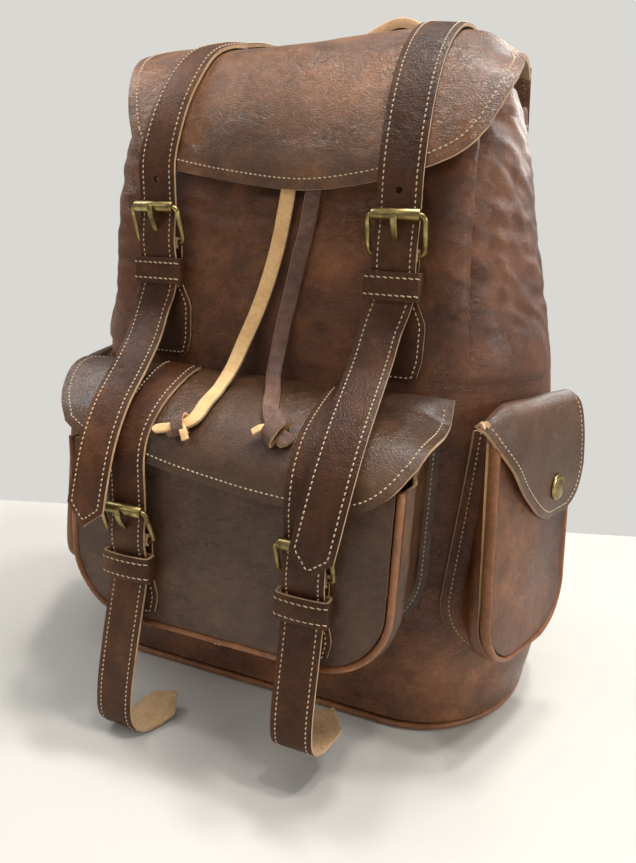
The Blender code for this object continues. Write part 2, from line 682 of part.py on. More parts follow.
# ---------------------------------------------------------------- back: straps and handle
HANDLE_AXIS = Vector((0, BACK_Y + 0.0105, 0.4300))
STRAP_TOP = Vector((0.034, BACK_Y + 0.0150, 0.4100))
STRAP_FOOT = Vector((0.124, BACK_Y + 0.0150, 0.0400))


def carrying():
    anchor = [(-0.056, 0.396), (0.068, 0.396), (0.068, 0.422), (-0.056, 0.422)]
    plate("strap_anchor", [Vector((x, BACK_Y + GAP + LEATHER + GAP, z)) for x, z in anchor],
          0.0035, "strap", (0, 1, 0))
    y = HANDLE_AXIS.y
    low = HANDLE_AXIS.z
    arch = [(-0.036, y, low), (-0.030, y + 0.003, low + 0.022), (-0.010, y + 0.006, low + 0.045),
            (0.024, y + 0.008, low + 0.0605), (0.048, y + 0.006, low + 0.046),
            (0.054, y + 0.003, low + 0.022), (0.050, y, low)]
    centre = smooth(arch, 20)
    rows = []
    for p in centre:
        rows.append([p + Vector((0, w, 0)) for w in (-0.0045, 0.0045)])
    sheet("carry_handle", rows, 0.0042, "strap", pivot=HANDLE_AXIS)

    for word, sign in (("left", -1), ("right", 1)):
        top = Vector((sign * STRAP_TOP.x, STRAP_TOP.y, STRAP_TOP.z))
        foot = Vector((sign * STRAP_FOOT.x, STRAP_FOOT.y, STRAP_FOOT.z))
        run = [(top.x, top.y + 0.001, top.z), (top.x + sign * 0.004, top.y + 0.018, 0.380),
               (top.x + sign * 0.014, top.y + 0.034, 0.330),
               (top.x + sign * 0.030, top.y + 0.042, 0.260),
               (top.x + sign * 0.046, top.y + 0.038, 0.195)]
        centre = smooth(run, 16)
        wide = [0.026 + 0.016 * math.sin(math.pi * min(1.0, i / 12 + 0.05)) for i in range(17)]
        ribbon(f"shoulder_strap_{word}", centre, wide, 0.0060, "strap", pivot=top)
        last = centre[-1]
        step = (centre[-1] - centre[-2]).normalized()
        eye = last + step * 0.0135
        level = (X_AXIS - step * step.x).normalized()
        loop = []
        for cx, cz, first in ((0.0100, 0.0075, 0), (-0.0100, 0.0075, 90),
                              (-0.0100, -0.0075, 180), (0.0100, -0.0075, 270)):
            for k in range(3):
                a = math.radians(first + 90 * k / 2)
                loop.append(eye + level * (cx + 0.003 * math.cos(a))
                            - step * (cz + 0.003 * math.sin(a)))
        wire(f"adjust_buckle_{word}", loop, 0.0015, "brass", closed=True)
        begin = eye + step * 0.0140
        lower = [begin, Vector((sign * 0.098, foot.y + 0.022, 0.130)),
                 Vector((sign * 0.110, foot.y + 0.010, 0.080)), foot]
        ribbon(f"adjust_strap_{word}", smooth(lower, 10), 0.0200, STRAP, "strap", pivot=top)


# ---------------------------------------------------------------- drawstring's free ends
LACE_ROUTES = {
    "left": [(0.0085, -0.0796, 0.3760), (0.0088, -0.0822, 0.3640), (0.0088, -0.0830, 0.3500),
             (0.0066, -0.0838, 0.3330), (0.0035, -0.0848, 0.3150), (-0.0020, -0.0858, 0.2940),
             (-0.0085, -0.0870, 0.2750), (-0.0150, -0.0900, 0.2575), (-0.0182, -0.0985, 0.2420)],
    "right": [(0.0262, -0.0796, 0.3760), (0.0260, -0.0822, 0.3640), (0.0250, -0.0830, 0.3500),
              (0.0222, -0.0838, 0.3280), (0.0182, -0.0848, 0.3090), (0.0140, -0.0858, 0.2860),
              (0.0104, -0.0872, 0.2670), (0.0094, -0.0905, 0.2530), (0.0110, -0.0990, 0.2415)],
}
LACE_REST = {"left": [(-0.0184, 0.032), (-0.0188, 0.047), (-0.0205, 0.0605), (-0.0295, 0.0673),
                      (-0.0405, 0.0720)],
             "right": [(0.0165, 0.0280), (0.0215, 0.0420), (0.0270, 0.0530), (0.0330, 0.0600),
                       (0.0405, 0.0650)]}


def laces():
    for word, route in LACE_ROUTES.items():
        points = [Vector(p) for p in route]
        for x, l in LACE_REST[word]:
            points.append(POCKET_FLAP.at(l, x) + POCKET_FLAP.normal(l, x)
                          * (LEATHER / 2 + LACE_RADIUS + 0.0006))
        wire(f"lace_{word}", smooth(points, 26), LACE_RADIUS, "suede", sides=2)


body()
pocket("pocket", "", FRONT, POCKET_HALF, POCKET_LOW_Z, POCKET_HIGH_Z, POCKET_CORNER, rise=0.018)
flaps()
tails()
fastenings()
side_pockets()
carrying()
laces()
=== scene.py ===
"""Looks of the leather rucksack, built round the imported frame. Metres, +Z up, front -Y."""
import math

import bmesh
import bpy
from mathutils import Matrix, Vector, noise


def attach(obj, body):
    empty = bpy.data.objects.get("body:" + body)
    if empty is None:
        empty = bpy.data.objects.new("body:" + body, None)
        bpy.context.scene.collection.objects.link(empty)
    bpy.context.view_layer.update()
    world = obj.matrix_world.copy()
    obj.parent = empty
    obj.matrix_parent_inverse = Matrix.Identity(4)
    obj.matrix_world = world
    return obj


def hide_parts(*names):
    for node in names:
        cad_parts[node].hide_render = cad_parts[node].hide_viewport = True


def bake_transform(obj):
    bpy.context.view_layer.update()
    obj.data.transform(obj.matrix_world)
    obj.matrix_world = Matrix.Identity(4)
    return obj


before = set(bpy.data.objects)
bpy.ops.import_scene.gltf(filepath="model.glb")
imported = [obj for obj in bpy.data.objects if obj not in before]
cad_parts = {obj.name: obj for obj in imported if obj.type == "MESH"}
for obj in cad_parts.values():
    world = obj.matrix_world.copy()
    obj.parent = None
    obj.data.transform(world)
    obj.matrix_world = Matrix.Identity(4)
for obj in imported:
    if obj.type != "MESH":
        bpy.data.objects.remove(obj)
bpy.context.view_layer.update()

X_AXIS = Vector((1, 0, 0))
Z_AXIS = Vector((0, 0, 1))
LEATHER = 0.0022
STRAP = 0.0024
STITCH_PITCH = 0.0032
STITCH_LONG = 0.0022
STITCH_RADIUS = 0.00042
WORDS = (("left", -1), ("right", 1))

# ------------------------------------------------------------------ camera, at 636 x 863
CAMERA_AT = Vector((0.1798, -0.4702, 0.3122))
YAW, PITCH, ROLL = math.radians(20.288), math.radians(14.659), math.radians(3.267)


def make_camera():
    data = bpy.data.cameras.new("camera")
    data.lens = 27.62
    data.sensor_width = 36.0
    data.clip_start = 0.02
    camera = bpy.data.objects.new("camera", data)
    bpy.context.scene.collection.objects.link(camera)
    back = Vector((math.sin(YAW) * math.cos(PITCH), -math.cos(YAW) * math.cos(PITCH),
                   math.sin(PITCH)))
    right = Vector((math.cos(YAW), math.sin(YAW), 0))
    up = back.cross(right)
    side = right * math.cos(ROLL) + up * math.sin(ROLL)
    top = up * math.cos(ROLL) - right * math.sin(ROLL)
    turn = Matrix((side, top, back)).transposed().to_4x4()
    camera.matrix_world = Matrix.Translation(CAMERA_AT) @ turn
    bpy.context.scene.camera = camera


make_camera()
bpy.context.scene.view_settings.view_transform = "Standard"


# ------------------------------------------------------------------ materials
class Nodes:
    """Short names for building a node tree."""

    def __init__(self, name):
        self.made = bpy.data.materials.new(name)
        self.made.use_nodes = True
        self.tree = self.made.node_tree
        self.shader = self.tree.nodes["Principled BSDF"]

    def add(self, kind, values=(), **settings):
        node = self.tree.nodes.new(kind)
        for key, value in settings.items():
            setattr(node, key, value)
        for key, value in dict(values).items():
            node.inputs[key].default_value = value
        return node

    def join(self, source, socket, target, entry):
        self.tree.links.new(source.outputs[socket], target.inputs[entry])

    def noise(self, place, scale, detail=4.0, rough=0.55, warp=0.0):
        node = self.add("ShaderNodeTexNoise", {"Scale": scale, "Detail": detail,
                                               "Roughness": rough, "Distortion": warp})
        self.join(place, "Vector" if "Vector" in place.outputs else "Object", node, "Vector")
        return node

    def ramp(self, source, socket, stops, smooth=True):
        node = self.add("ShaderNodeValToRGB")
        ramp = node.color_ramp
        ramp.interpolation = "EASE" if smooth else "LINEAR"
        while len(ramp.elements) < len(stops):
            ramp.elements.new(0.5)
        for element, (at, colour) in zip(ramp.elements, stops):
            element.position = at
            element.color = (*colour, 1.0) if len(colour) == 3 else (*colour * 3, 1.0)
        self.join(source, socket, node, "Fac")
        return node

    def mix(self, kind, factor, a, b):
        """Colour mix; factor, a and b are values or (node, socket) pairs."""
        node = self.add("ShaderNodeMix", data_type="RGBA", blend_type=kind)
        for value, entry in ((factor, 0), (a, 6), (b, 7)):
            if isinstance(value, tuple) and isinstance(value[0], bpy.types.Node):
                self.tree.links.new(value[0].outputs[value[1]], node.inputs[entry])
            elif entry == 0:
                node.inputs[0].default_value = value
            else:
                node.inputs[entry].default_value = (*value, 1.0)
        return node

    def sums(self, kind, a, b):
        node = self.add("ShaderNodeMath", operation=kind)
        for entry, value in enumerate((a, b)):
            if isinstance(value, tuple):
                self.tree.links.new(value[0].outputs[value[1]], node.inputs[entry])
            else:
                node.inputs[entry].default_value = value
        return node


def leather(name, dark, middle, light, gloss=0.40, seed=0.0, grain=1.0, streak=(1, 1, 1),
            worn_look=1.0, crinkle=0.0016, shiny=0.42):
    """Pull-up hide: cloudy colour, pebbled grain, wandering creases and uneven shine."""
    n = Nodes(name)
    place = n.add("ShaderNodeTexCoord")
    moved = n.add("ShaderNodeMapping", {"Location": (seed, seed * 0.7, -seed)})
    n.join(place, "Object", moved, "Vector")
    drawn = n.add("ShaderNodeMapping", {"Location": (seed, 0, seed), "Scale": streak})
    n.join(place, "Object", drawn, "Vector")
    cloud = n.noise(drawn, 11.0, 5.0, 0.6, 0.5)
    base = n.ramp(cloud, "Fac", ((0.34, dark), (0.52, middle), (0.70, light)))
    patch = n.noise(moved, 38.0, 6.0, 0.65, 0.8)
    tone = n.ramp(patch, "Fac", ((0.34, (1 - 0.30 * worn_look,)), (0.68, (1 + 0.26 * worn_look,))))
    colour = n.mix("MULTIPLY", 1.0, (base, "Color"), (tone, "Color"))
    fleck = n.noise(moved, 260.0, 3.0, 0.7)
    speck = n.ramp(fleck, "Fac", ((0.35, (0.80,)), (0.66, (1.16,))))
    colour = n.mix("MULTIPLY", 0.8, (colour, 2), (speck, "Color"))
    # creases: thin wandering lines, closer together in some places
    bent = n.add("ShaderNodeMapping", {"Rotation": (0.5, 0.4, 0.7), "Scale": (1.0, 1.0, 2.4)})
    n.join(moved, 0, bent, "Vector")
    fold = n.noise(bent, 62.0, 5.0, 0.62, 1.6)
    off = n.sums("ABSOLUTE", (n.sums("SUBTRACT", (fold, "Fac"), 0.5), 0), 0.0)
    line = n.ramp(off, 0, ((0.0, (1.0,)), (0.045, (0.0,))))
    where = n.ramp(n.noise(moved, 16.0, 3.0), "Fac", ((0.42, (0.12,)), (0.66, (1.0,))))
    share = n.sums("MULTIPLY", (line, "Color"), (where, "Color"))
    share = n.sums("MULTIPLY", (share, 0), worn_look)
    worn = n.mix("MULTIPLY", (n.sums("MULTIPLY", (share, 0), 0.35), 0), (colour, 2),
                 (0.62, 0.58, 0.55))
    n.join(worn, 2, n.shader, "Base Color")
    # height: pebbles, creases and a little waviness
    pebble = n.add("ShaderNodeTexVoronoi", {"Scale": 560.0, "Randomness": 1.0},
                   feature="DISTANCE_TO_EDGE")
    n.join(moved, 0, pebble, "Vector")
    grains = n.ramp(pebble, "Distance", ((0.0, (0.0,)), (0.30, (1.0,))))
    fine = n.noise(moved, 850.0, 2.0, 0.6)
    height = n.sums("MULTIPLY", (grains, "Color"), 0.00013 * grain)
    height = n.sums("ADD", (height, 0), (n.sums("MULTIPLY", (fine, "Fac"), 0.00012 * grain), 0))
    height = n.sums("ADD", (height, 0), (n.sums("MULTIPLY", (patch, "Fac"), 0.0013 * worn_look), 0))
    height = n.sums("SUBTRACT", (height, 0), (n.sums("MULTIPLY", (share, 0), 0.00030), 0))
    pinch = n.noise(bent, 190.0, 4.0, 0.6, 2.2)
    pinch = n.sums("ABSOLUTE", (n.sums("SUBTRACT", (pinch, "Fac"), 0.5), 0), 0.0)
    height = n.sums("ADD", (height, 0), (n.sums("MULTIPLY", (pinch, 0), crinkle), 0))
    bump = n.add("ShaderNodeBump", {"Strength": 0.8, "Distance": 1.0})
    n.join(height, 0, bump, "Height")
    n.join(bump, 0, n.shader, "Normal")
    shine = n.ramp(n.noise(moved, 24.0, 4.0), "Fac",
                   ((0.30, (gloss - 0.10,)), (0.72, (gloss + 0.12,))))
    n.join(shine, "Color", n.shader, "Roughness")
    n.shader.inputs["Specular IOR Level"].default_value = shiny
    n.shader.inputs["Coat Weight"].default_value = 0.10 if shiny > 0.3 else 0.0
    n.shader.inputs["Coat Roughness"].default_value = 0.30
    return n.made


def suede(name, dark, light, fuzz=420.0):
    """The raw flesh side: matt, fibrous and pale."""
    n = Nodes(name)
    place = n.add("ShaderNodeTexCoord")
    soft = n.noise(place, 60.0, 5.0, 0.6)
    fibre = n.noise(place, fuzz, 5.0, 0.75, 1.2)
    both = n.sums("ADD", (n.sums("MULTIPLY", (soft, "Fac"), 0.45), 0),
                  (n.sums("MULTIPLY", (fibre, "Fac"), 0.55), 0))
    base = n.ramp(both, 0, ((0.36, dark), (0.64, light)))
    n.join(base, "Color", n.shader, "Base Color")
    bump = n.add("ShaderNodeBump", {"Strength": 0.7, "Distance": 0.0004})
    n.join(fibre, "Fac", bump, "Height")
    n.join(bump, 0, n.shader, "Normal")
    n.shader.inputs["Roughness"].default_value = 0.88
    n.shader.inputs["Sheen Weight"].default_value = 0.25
    n.shader.inputs["Sheen Roughness"].default_value = 0.5
    return n.made


def brass():
    n = Nodes("antique_brass")
    place = n.add("ShaderNodeTexCoord")
    worn = n.noise(place, 130.0, 5.0, 0.6)
    base = n.ramp(worn, "Fac", ((0.32, (0.12, 0.084, 0.030)), (0.50, (0.27, 0.200, 0.080)),
                                (0.72, (0.52, 0.41, 0.18))))
    n.join(base, "Color", n.shader, "Base Color")
    rough = n.ramp(worn, "Fac", ((0.30, (0.44,)), (0.75, (0.24,))))
    n.join(rough, "Color", n.shader, "Roughness")
    bump = n.add("ShaderNodeBump", {"Strength": 0.25, "Distance": 0.0003})
    n.join(n.noise(place, 500.0, 3.0), "Fac", bump, "Height")
    n.join(bump, 0, n.shader, "Normal")
    n.shader.inputs["Metallic"].default_value = 1.0
    return n.made


def thread():
    n = Nodes("stitch_thread")
    place = n.add("ShaderNodeTexCoord")
    twist = n.noise(place, 1500.0, 2.0, 0.6)
    base = n.ramp(twist, "Fac", ((0.35, (0.44, 0.33, 0.19)), (0.65, (0.68, 0.55, 0.36))))
    n.join(base, "Color", n.shader, "Base Color")
    bump = n.add("ShaderNodeBump", {"Strength": 0.5, "Distance": 0.0002})
    n.join(twist, "Fac", bump, "Height")
    n.join(bump, 0, n.shader, "Normal")
    n.shader.inputs["Roughness"].default_value = 0.75
    n.shader.inputs["Sheen Weight"].default_value = 0.2
    return n.made


HIDE = leather("hide", (0.080, 0.0235, 0.0062), (0.146, 0.0480, 0.0145), (0.245, 0.092, 0.0330),
               0.34)
FLAP_HIDE = leather("flap_hide", (0.112, 0.0440, 0.0160), (0.185, 0.076, 0.0290),
                    (0.275, 0.122, 0.050), 0.30, 1.7, 0.9, (1, 1, 1), 1.0, 0.0010)
POCKET_HIDE = leather("pocket_hide", (0.050, 0.0215, 0.0090), (0.080, 0.0355, 0.0155),
                      (0.122, 0.057, 0.026), 0.36, 3.1, 0.8, (1, 1, 1), 0.6, 0.0006)
STRAP_HIDE = leather("strap_hide", (0.041, 0.0138, 0.0046), (0.073, 0.0255, 0.0090),
                     (0.118, 0.044, 0.0160), 0.42, 5.3, 1.1, (1, 1, 0.35), 0.8, 0.0004, 0.22)
PIPING_HIDE = leather("piping_hide", (0.180, 0.064, 0.022), (0.255, 0.099, 0.037),
                      (0.350, 0.146, 0.060), 0.42, 7.9, 0.7, (1, 1, 1), 0.6, 0.0003)
LACE_HIDE = leather("lace_hide", (0.085, 0.038, 0.024), (0.150, 0.073, 0.048),
                    (0.210, 0.112, 0.076), 0.52, 9.1, 0.9)
EDGE = suede("raw_edge", (0.38, 0.215, 0.100), (0.60, 0.38, 0.200), 700.0)
FLESH = suede("flesh_side", (0.42, 0.255, 0.120), (0.66, 0.44, 0.235))
TAN = suede("tan_suede", (0.64, 0.37, 0.150), (0.88, 0.57, 0.27))
BRASS = brass()
THREAD = thread()


# ------------------------------------------------------------------ mesh tools
def show(name, data, mats):
    item = bpy.data.objects.new(name, data)
    bpy.context.scene.collection.objects.link(item)
    for mat in mats:
        item.data.materials.append(mat)
    if item.type == "MESH":
        for face in item.data.polygons:
            face.use_smooth = True
    return item


def body(name, verts, faces, mats, kinds=None, sharp=None, fixed=True):
    """A mesh piece from points and faces, with a material for each kind of face."""
    mesh = bpy.data.meshes.new(name)
    mesh.from_pydata([tuple(v) for v in verts], [], faces)
    if fixed:
        bm = bmesh.new()
        bm.from_mesh(mesh)
        bmesh.ops.recalc_face_normals(bm, faces=bm.faces)
        bm.to_mesh(mesh)
        bm.free()
    for face, kind in zip(mesh.polygons, kinds or ()):
        face.material_index = kind
    item = show(name, mesh, mats)
    if sharp:
        item.data.set_sharp_from_angle(angle=math.radians(sharp))
    return item


def bands(rings, sides, start=0):
    """Quads that join rings of points, each ring closed on itself."""
    faces = []
    for i in range(rings - 1):
        low, high = start + i * sides, start + (i + 1) * sides
        for k in range(sides):
            m = (k + 1) % sides
            faces.append((low + k, low + m, high + m, high + k))
    return faces


def rounded(half_a, half_b, corner, steps):
    """A rectangle with round corners, as four lists of (a, b) points."""
    out = []
    for sign_a, sign_b, first in ((1, 1, 0), (-1, 1, 90), (-1, -1, 180), (1, -1, 270)):
        turns = [math.radians(first + 90 * k / steps) for k in range(steps + 1)]
        out.append([(sign_a * (half_a - corner) + corner * math.cos(t),
                     sign_b * (half_b - corner) + corner * math.sin(t)) for t in turns])
    return out


def smooth(points, count):
    """A Catmull-Rom curve through the points, cut into count even steps."""
    pts = [Vector(p) for p in points]
    pts = [2 * pts[0] - pts[1]] + pts + [2 * pts[-1] - pts[-2]]
    fine = []
    for i in range(1, len(pts) - 2):
        for k in range(24):
            t = k / 24
            a, b, c, d = pts[i - 1], pts[i], pts[i + 1], pts[i + 2]
            fine.append(0.5 * (2 * b + (c - a) * t + (2 * a - 5 * b + 4 * c - d) * t * t
                               + (3 * b - a - 3 * c + d) * t ** 3))
    fine.append(pts[-2])
    return spread(fine, count)


def spread(line, count):
    """Points at even distances along a polyline."""
    reach = [0.0]
    for a, b in zip(line, line[1:]):
        reach.append(reach[-1] + (b - a).length)
    out, at = [], 0
    for k in range(count + 1):
        want = reach[-1] * k / count
        while at < len(line) - 2 and reach[at + 1] < want:
            at += 1
        step = max(1e-9, reach[at + 1] - reach[at])
        out.append(line[at].lerp(line[at + 1], min(1.0, (want - reach[at]) / step)))
    return out


def length_of(line):
    return sum((b - a).length for a, b in zip(line, line[1:]))


def rough(p, scale, seed=0.0):
    """Smooth noise about 0, from -1 to 1."""
    return noise.noise(Vector((p[0] * scale + seed, p[1] * scale - seed, p[2] * scale + 2 * seed)))


def bell(x, width):
    """A smooth hump of height 1 at 0."""
    return math.exp(-(x / width) ** 2)


def ease(a, b, x):
    """From 0 at a to 1 at b, level at both ends."""
    t = min(1.0, max(0.0, (x - a) / (b - a)))
    return t * t * (3 - 2 * t)


class Strip:
    """A strap: a centre line with a width direction and an outward normal at each point."""

    def __init__(self, centre, across, out):
        self.centre, self.level, self.up = [], [], []
        last = len(centre) - 1
        for i, point in enumerate(centre):
            ahead = (centre[min(i + 1, last)] - centre[max(i - 1, 0)]).normalized()
            want = across[i] if isinstance(across, list) else across
            level = (want - ahead * want.dot(ahead)).normalized()
            up = level.cross(ahead)
            hint = out[i] if isinstance(out, list) else out
            if hint is not None and up.dot(hint) < 0:
                up = -up
            self.centre.append(point)
            self.level.append(level)
            self.up.append(up)
        self.reach = [0.0]
        for a, b in zip(centre, centre[1:]):
            self.reach.append(self.reach[-1] + (b - a).length)
        self.length = self.reach[-1]

    def at(self, l, t, n=0.0):
        """Point l metres along, t to the side and n above the middle surface."""
        l = min(self.length, max(0.0, l))
        low = 0
        high = len(self.reach) - 1
        while high - low > 1:
            middle = (low + high) // 2
            if self.reach[middle] <= l:
                low = middle
            else:
                high = middle
        part = (l - self.reach[low]) / max(1e-9, self.reach[high] - self.reach[low])
        mixed = [row[low].lerp(row[high], part) for row in (self.centre, self.level, self.up)]
        return mixed[0] + mixed[1] * t + mixed[2] * n, mixed[2]


def stitches(name, rides, line, radius=STITCH_RADIUS, pitch=STITCH_PITCH, long=STITCH_LONG,
             lean=0.12):
    """Thread stitches along a line of (point, outward normal) pairs, each a small capsule."""
    reach = [0.0]
    for (a, _), (b, _) in zip(line, line[1:]):
        reach.append(reach[-1] + (b - a).length)
    count = max(1, int(reach[-1] / pitch))
    gap = reach[-1] / count
    verts, faces = [], []
    at = 0

    def place(want):
        nonlocal at
        at = 0 if reach[at] > want else at
        while at < len(reach) - 2 and reach[at + 1] < want:
            at += 1
        part = (want - reach[at]) / max(1e-9, reach[at + 1] - reach[at])
        return (line[at][0].lerp(line[at + 1][0], part),
                line[at][1].lerp(line[at + 1][1], part).normalized())

    for k in range(count):
        middle = (k + 0.5) * gap
        first, _ = place(middle - long / 2)
        centre, out = place(middle)
        last, _ = place(middle + long / 2)
        ahead = (last - first).normalized()
        side = ahead.cross(out).normalized()
        ahead = (ahead + side * lean).normalized()
        side = ahead.cross(out).normalized()
        start = len(verts)
        for along, size, lift in ((-0.5, 0.0, -0.75), (-0.40, 0.72, -0.28), (-0.15, 1.0, 0.30),
                                  (0.15, 1.0, 0.30), (0.40, 0.72, -0.28), (0.5, 0.0, -0.75)):
            p = centre + ahead * along * long + out * lift * radius
            if size == 0.0:
                verts.append(p)
                continue
            for s in range(6):
                a = math.radians(60 * s)
                verts.append(p + (side * math.cos(a) + out * math.sin(a)) * radius * size)
        for s in range(6):
            t = (s + 1) % 6
            faces.append((start, start + 1 + s, start + 1 + t))
            for ring in range(3):
                low = start + 1 + 6 * ring
                faces.append((low + s, low + 6 + s, low + 6 + t, low + t))
            faces.append((start + 25, start + 19 + t, start + 19 + s))
    item = body(name, verts, faces, [THREAD], fixed=False)
    if rides:
        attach(item, rides)
    return item


def inset_path(path, depth):
    """A flat (a, b) polyline, moved sideways by depth to its left."""
    out = []
    for k, (a, b) in enumerate(path):
        a0, b0 = path[max(0, k - 1)]
        a1, b1 = path[min(len(path) - 1, k + 1)]
        da, db = a1 - a0, b1 - b0
        size = math.hypot(da, db) or 1.0
        out.append((a - db / size * depth, b + da / size * depth))
    return out


def strap(name, strip, width, thick, tip=0.0, mats=None, crown=0.0004, step=0.0030):
    """A leather strap as one closed body; width is a number or a function of length."""
    wide = width if callable(width) else (lambda l: width)
    deep = thick if callable(thick) else (lambda l: thick)
    count = max(6, int((strip.length - tip) / step))
    stops = [(strip.length - tip) * i / count for i in range(count + 1)]
    if tip:
        stops += [strip.length - tip * (1 - k / 6) for k in range(1, 7)]
    count = len(stops) - 1
    tops = (-1.0, -0.94, -0.8, -0.45, 0.0, 0.45, 0.8, 0.94, 1.0)
    rows = []
    for l in stops:
        half = wide(l) / 2
        if tip and l > strip.length - tip:
            half *= max(0.05, (strip.length - l) / tip)
        row = []
        for t in tops:
            drop = crown * max(0.0, (abs(t) - 0.7) / 0.3) ** 2
            row.append(strip.at(l, t * half, deep(l) / 2 - drop)[0])
        for t in reversed(tops):
            lift = crown * 0.5 * max(0.0, (abs(t) - 0.8) / 0.2)
            row.append(strip.at(l, t * half, lift - deep(l) / 2)[0])
        rows.append(row)
    n = len(tops) * 2
    faces = bands(count + 1, n)
    kinds = [2 if k in (len(tops) - 1, n - 1) else (0 if k < len(tops) - 1 else 1)
             for _ in range(count) for k in range(n)]
    faces += [tuple(reversed(range(n))), tuple(count * n + k for k in range(n))]
    verts = [p for row in rows for p in row]
    return body(name, verts, faces, mats or [STRAP_HIDE, FLESH, EDGE], kinds + [2, 2], 48)


def pierce(item, point, radius):
    """Cut a round hole from front to back."""
    mesh = bpy.data.meshes.new("awl")
    bm = bmesh.new()
    bmesh.ops.create_cone(bm, cap_ends=True, segments=20, radius1=radius, radius2=radius,
                          depth=0.012)
    bm.transform(Z_AXIS.rotation_difference(Vector((0, 1, 0))).to_matrix().to_4x4())
    bm.to_mesh(mesh)
    bm.free()
    tool = bpy.data.objects.new("awl", mesh)
    tool.location = point
    bpy.context.scene.collection.objects.link(tool)
    cut = item.modifiers.new("hole", "BOOLEAN")
    cut.object = tool
    cut.operation = "DIFFERENCE"
    cut.solver = "EXACT"
    bpy.context.view_layer.update()
    deps = bpy.context.evaluated_depsgraph_get()
    final = bpy.data.meshes.new_from_object(item.evaluated_get(deps))
    item.modifiers.clear()
    item.data = final
    bpy.data.objects.remove(tool)
    item.data.set_sharp_from_angle(angle=math.radians(48))


def strap_rows(name, rides, strip, width, thick, start, end, tip=0.0, margin=0.0034, **more):
    """Stitch rows along both edges, meeting in a point at a pointed tip."""
    wide = width if callable(width) else (lambda l: width)
    slope = wide(strip.length) / 2 / tip if tip else 0.0
    lines = []
    for sign in (-1, 1):
        line = []
        for i in range(241):
            l = start + (end - start) * i / 240
            half = wide(l) / 2 - margin
            if tip:
                half = min(half, (strip.length - l) * slope - margin * math.hypot(1.0, slope))
                if half < 0:
                    break
            line.append(strip.at(l, sign * half, thick / 2))
        lines.append(line)
    if tip:
        return [stitches(name, rides, lines[0] + list(reversed(lines[1])), **more)]
    return [stitches(f"{name}_{word}", rides, line, **more) for word, line in zip("ab", lines)]


def wire(name, points, radius, mats):
    """A closed loop of round wire."""
    curve = bpy.data.curves.new(name, "CURVE")
    curve.dimensions = "3D"
    spline = curve.splines.new("POLY")
    spline.points.add(len(points) - 1)
    for slot, point in zip(spline.points, points):
        slot.co = (*point, 1.0)
    spline.use_cyclic_u = True
    curve.bevel_depth = radius
    curve.bevel_resolution = 6
    made = bpy.data.objects.new("wire", curve)
    bpy.context.scene.collection.objects.link(made)
    bpy.context.view_layer.update()
    deps = bpy.context.evaluated_depsgraph_get()
    mesh = bpy.data.meshes.new_from_object(made.evaluated_get(deps))
    bpy.data.objects.remove(made)
    mesh.materials.clear()
    mesh.name = name
    return show(name, mesh, mats)


def settle(item, rides, nodes=()):
    """Fasten a piece to its body and hide the solids that it stands for."""
    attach(item, rides)
    if nodes:
        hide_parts(*nodes)
    return item


# ------------------------------------------------------------------ the sack's surface
FRONT_Y = -0.080
BACK_Y = 0.0695
MOUTH_Z = 0.424
BACK_TOP_Z = 0.4515
BODY_LOW_Z = 0.0075
SEAM_LOW_Z, SEAM_HIGH_Z = 0.012, 0.446
GAP = 0.0004
BODY_STATIONS = [(0.000, 0.181, -0.080), (0.050, 0.187, -0.080), (0.130, 0.182, -0.080),
                 (0.242, 0.171, -0.080), (0.312, 0.156, -0.080), (0.347, 0.148, -0.0795),
                 (0.392, 0.137, -0.070), (0.442, 0.122, -0.038)]
MOUTH_LINE_Z = 0.4070
CORNER_ACROSS = 0.085
CORNER_DEEP = 0.110
BACK_NARROWER = 0.014
FLAT_HALF = 0.097


def station(z):
    """Half width and front of the sack at a height."""
    last = BODY_STATIONS[0]
    for here in BODY_STATIONS[1:]:
        if z <= here[0]:
            break
        last = here
    part = min(1.0, max(0.0, (z - last[0]) / (here[0] - last[0]))) if here[0] > last[0] else 1.0
    return (last[1] + (here[1] - last[1]) * part, last[2] + (here[2] - last[2]) * part)


def soft_station(z):
    """The same outline, with the corners between the stations rounded off."""
    sums = [0.0, 0.0]
    for k in range(-3, 4):
        half, front = station(min(0.442, max(0.0, z + k * 0.006)))
        sums[0] += half / 7
        sums[1] += front / 7
    return sums


def sack_point(u, z, shape=station):
    """A point of the plain sack: u runs from -1 at the left back edge to 1 at the right."""
    half, front = shape(z)
    across = min(CORNER_ACROSS, max(0.03, half - FLAT_HALF))
    turn_y = front + CORNER_DEEP
    size = abs(u)
    if size < 0.3:
        x, y = (half - across) * size / 0.3, front
    elif size < 0.75:
        angle = math.radians(90) * (size - 0.3) / 0.45
        x = half - across + across * math.sin(angle)
        y = turn_y - CORNER_DEEP * math.cos(angle)
    else:
        part = (size - 0.75) / 0.25
        x = half - BACK_NARROWER * part ** 2
        y = turn_y + (BACK_Y - turn_y) * part
    return Vector((math.copysign(x, u), y, z))


def sack_x(y, z):
    """Half width of the plain sack at a depth and height."""
    half, front = station(z)
    across = min(CORNER_ACROSS, max(0.03, half - FLAT_HALF))
    turn_y = front + CORNER_DEEP
    if y >= turn_y:
        part = min(1.0, (y - turn_y) / (BACK_Y - turn_y))
        return half - BACK_NARROWER * part ** 2
    deep = min(1.0, (turn_y - y) / CORNER_DEEP)
    return half - across + across * math.sqrt(1 - deep * deep)


def fold_at(u, z):
    return 0.4160 + 0.0045 * math.sin(z * 36) + (0.010 if u < 0 else 0.0)


def sack_columns():
    """Shares from left to right, closer together where the folds are."""
    half = [0.388 * k / 40 for k in range(41)] + [0.388 + 0.056 * k / 34 for k in range(1, 35)]
    half += [0.444 + 0.556 * k / 48 for k in range(1, 49)]
    return [-v for v in reversed(half[1:])] + half


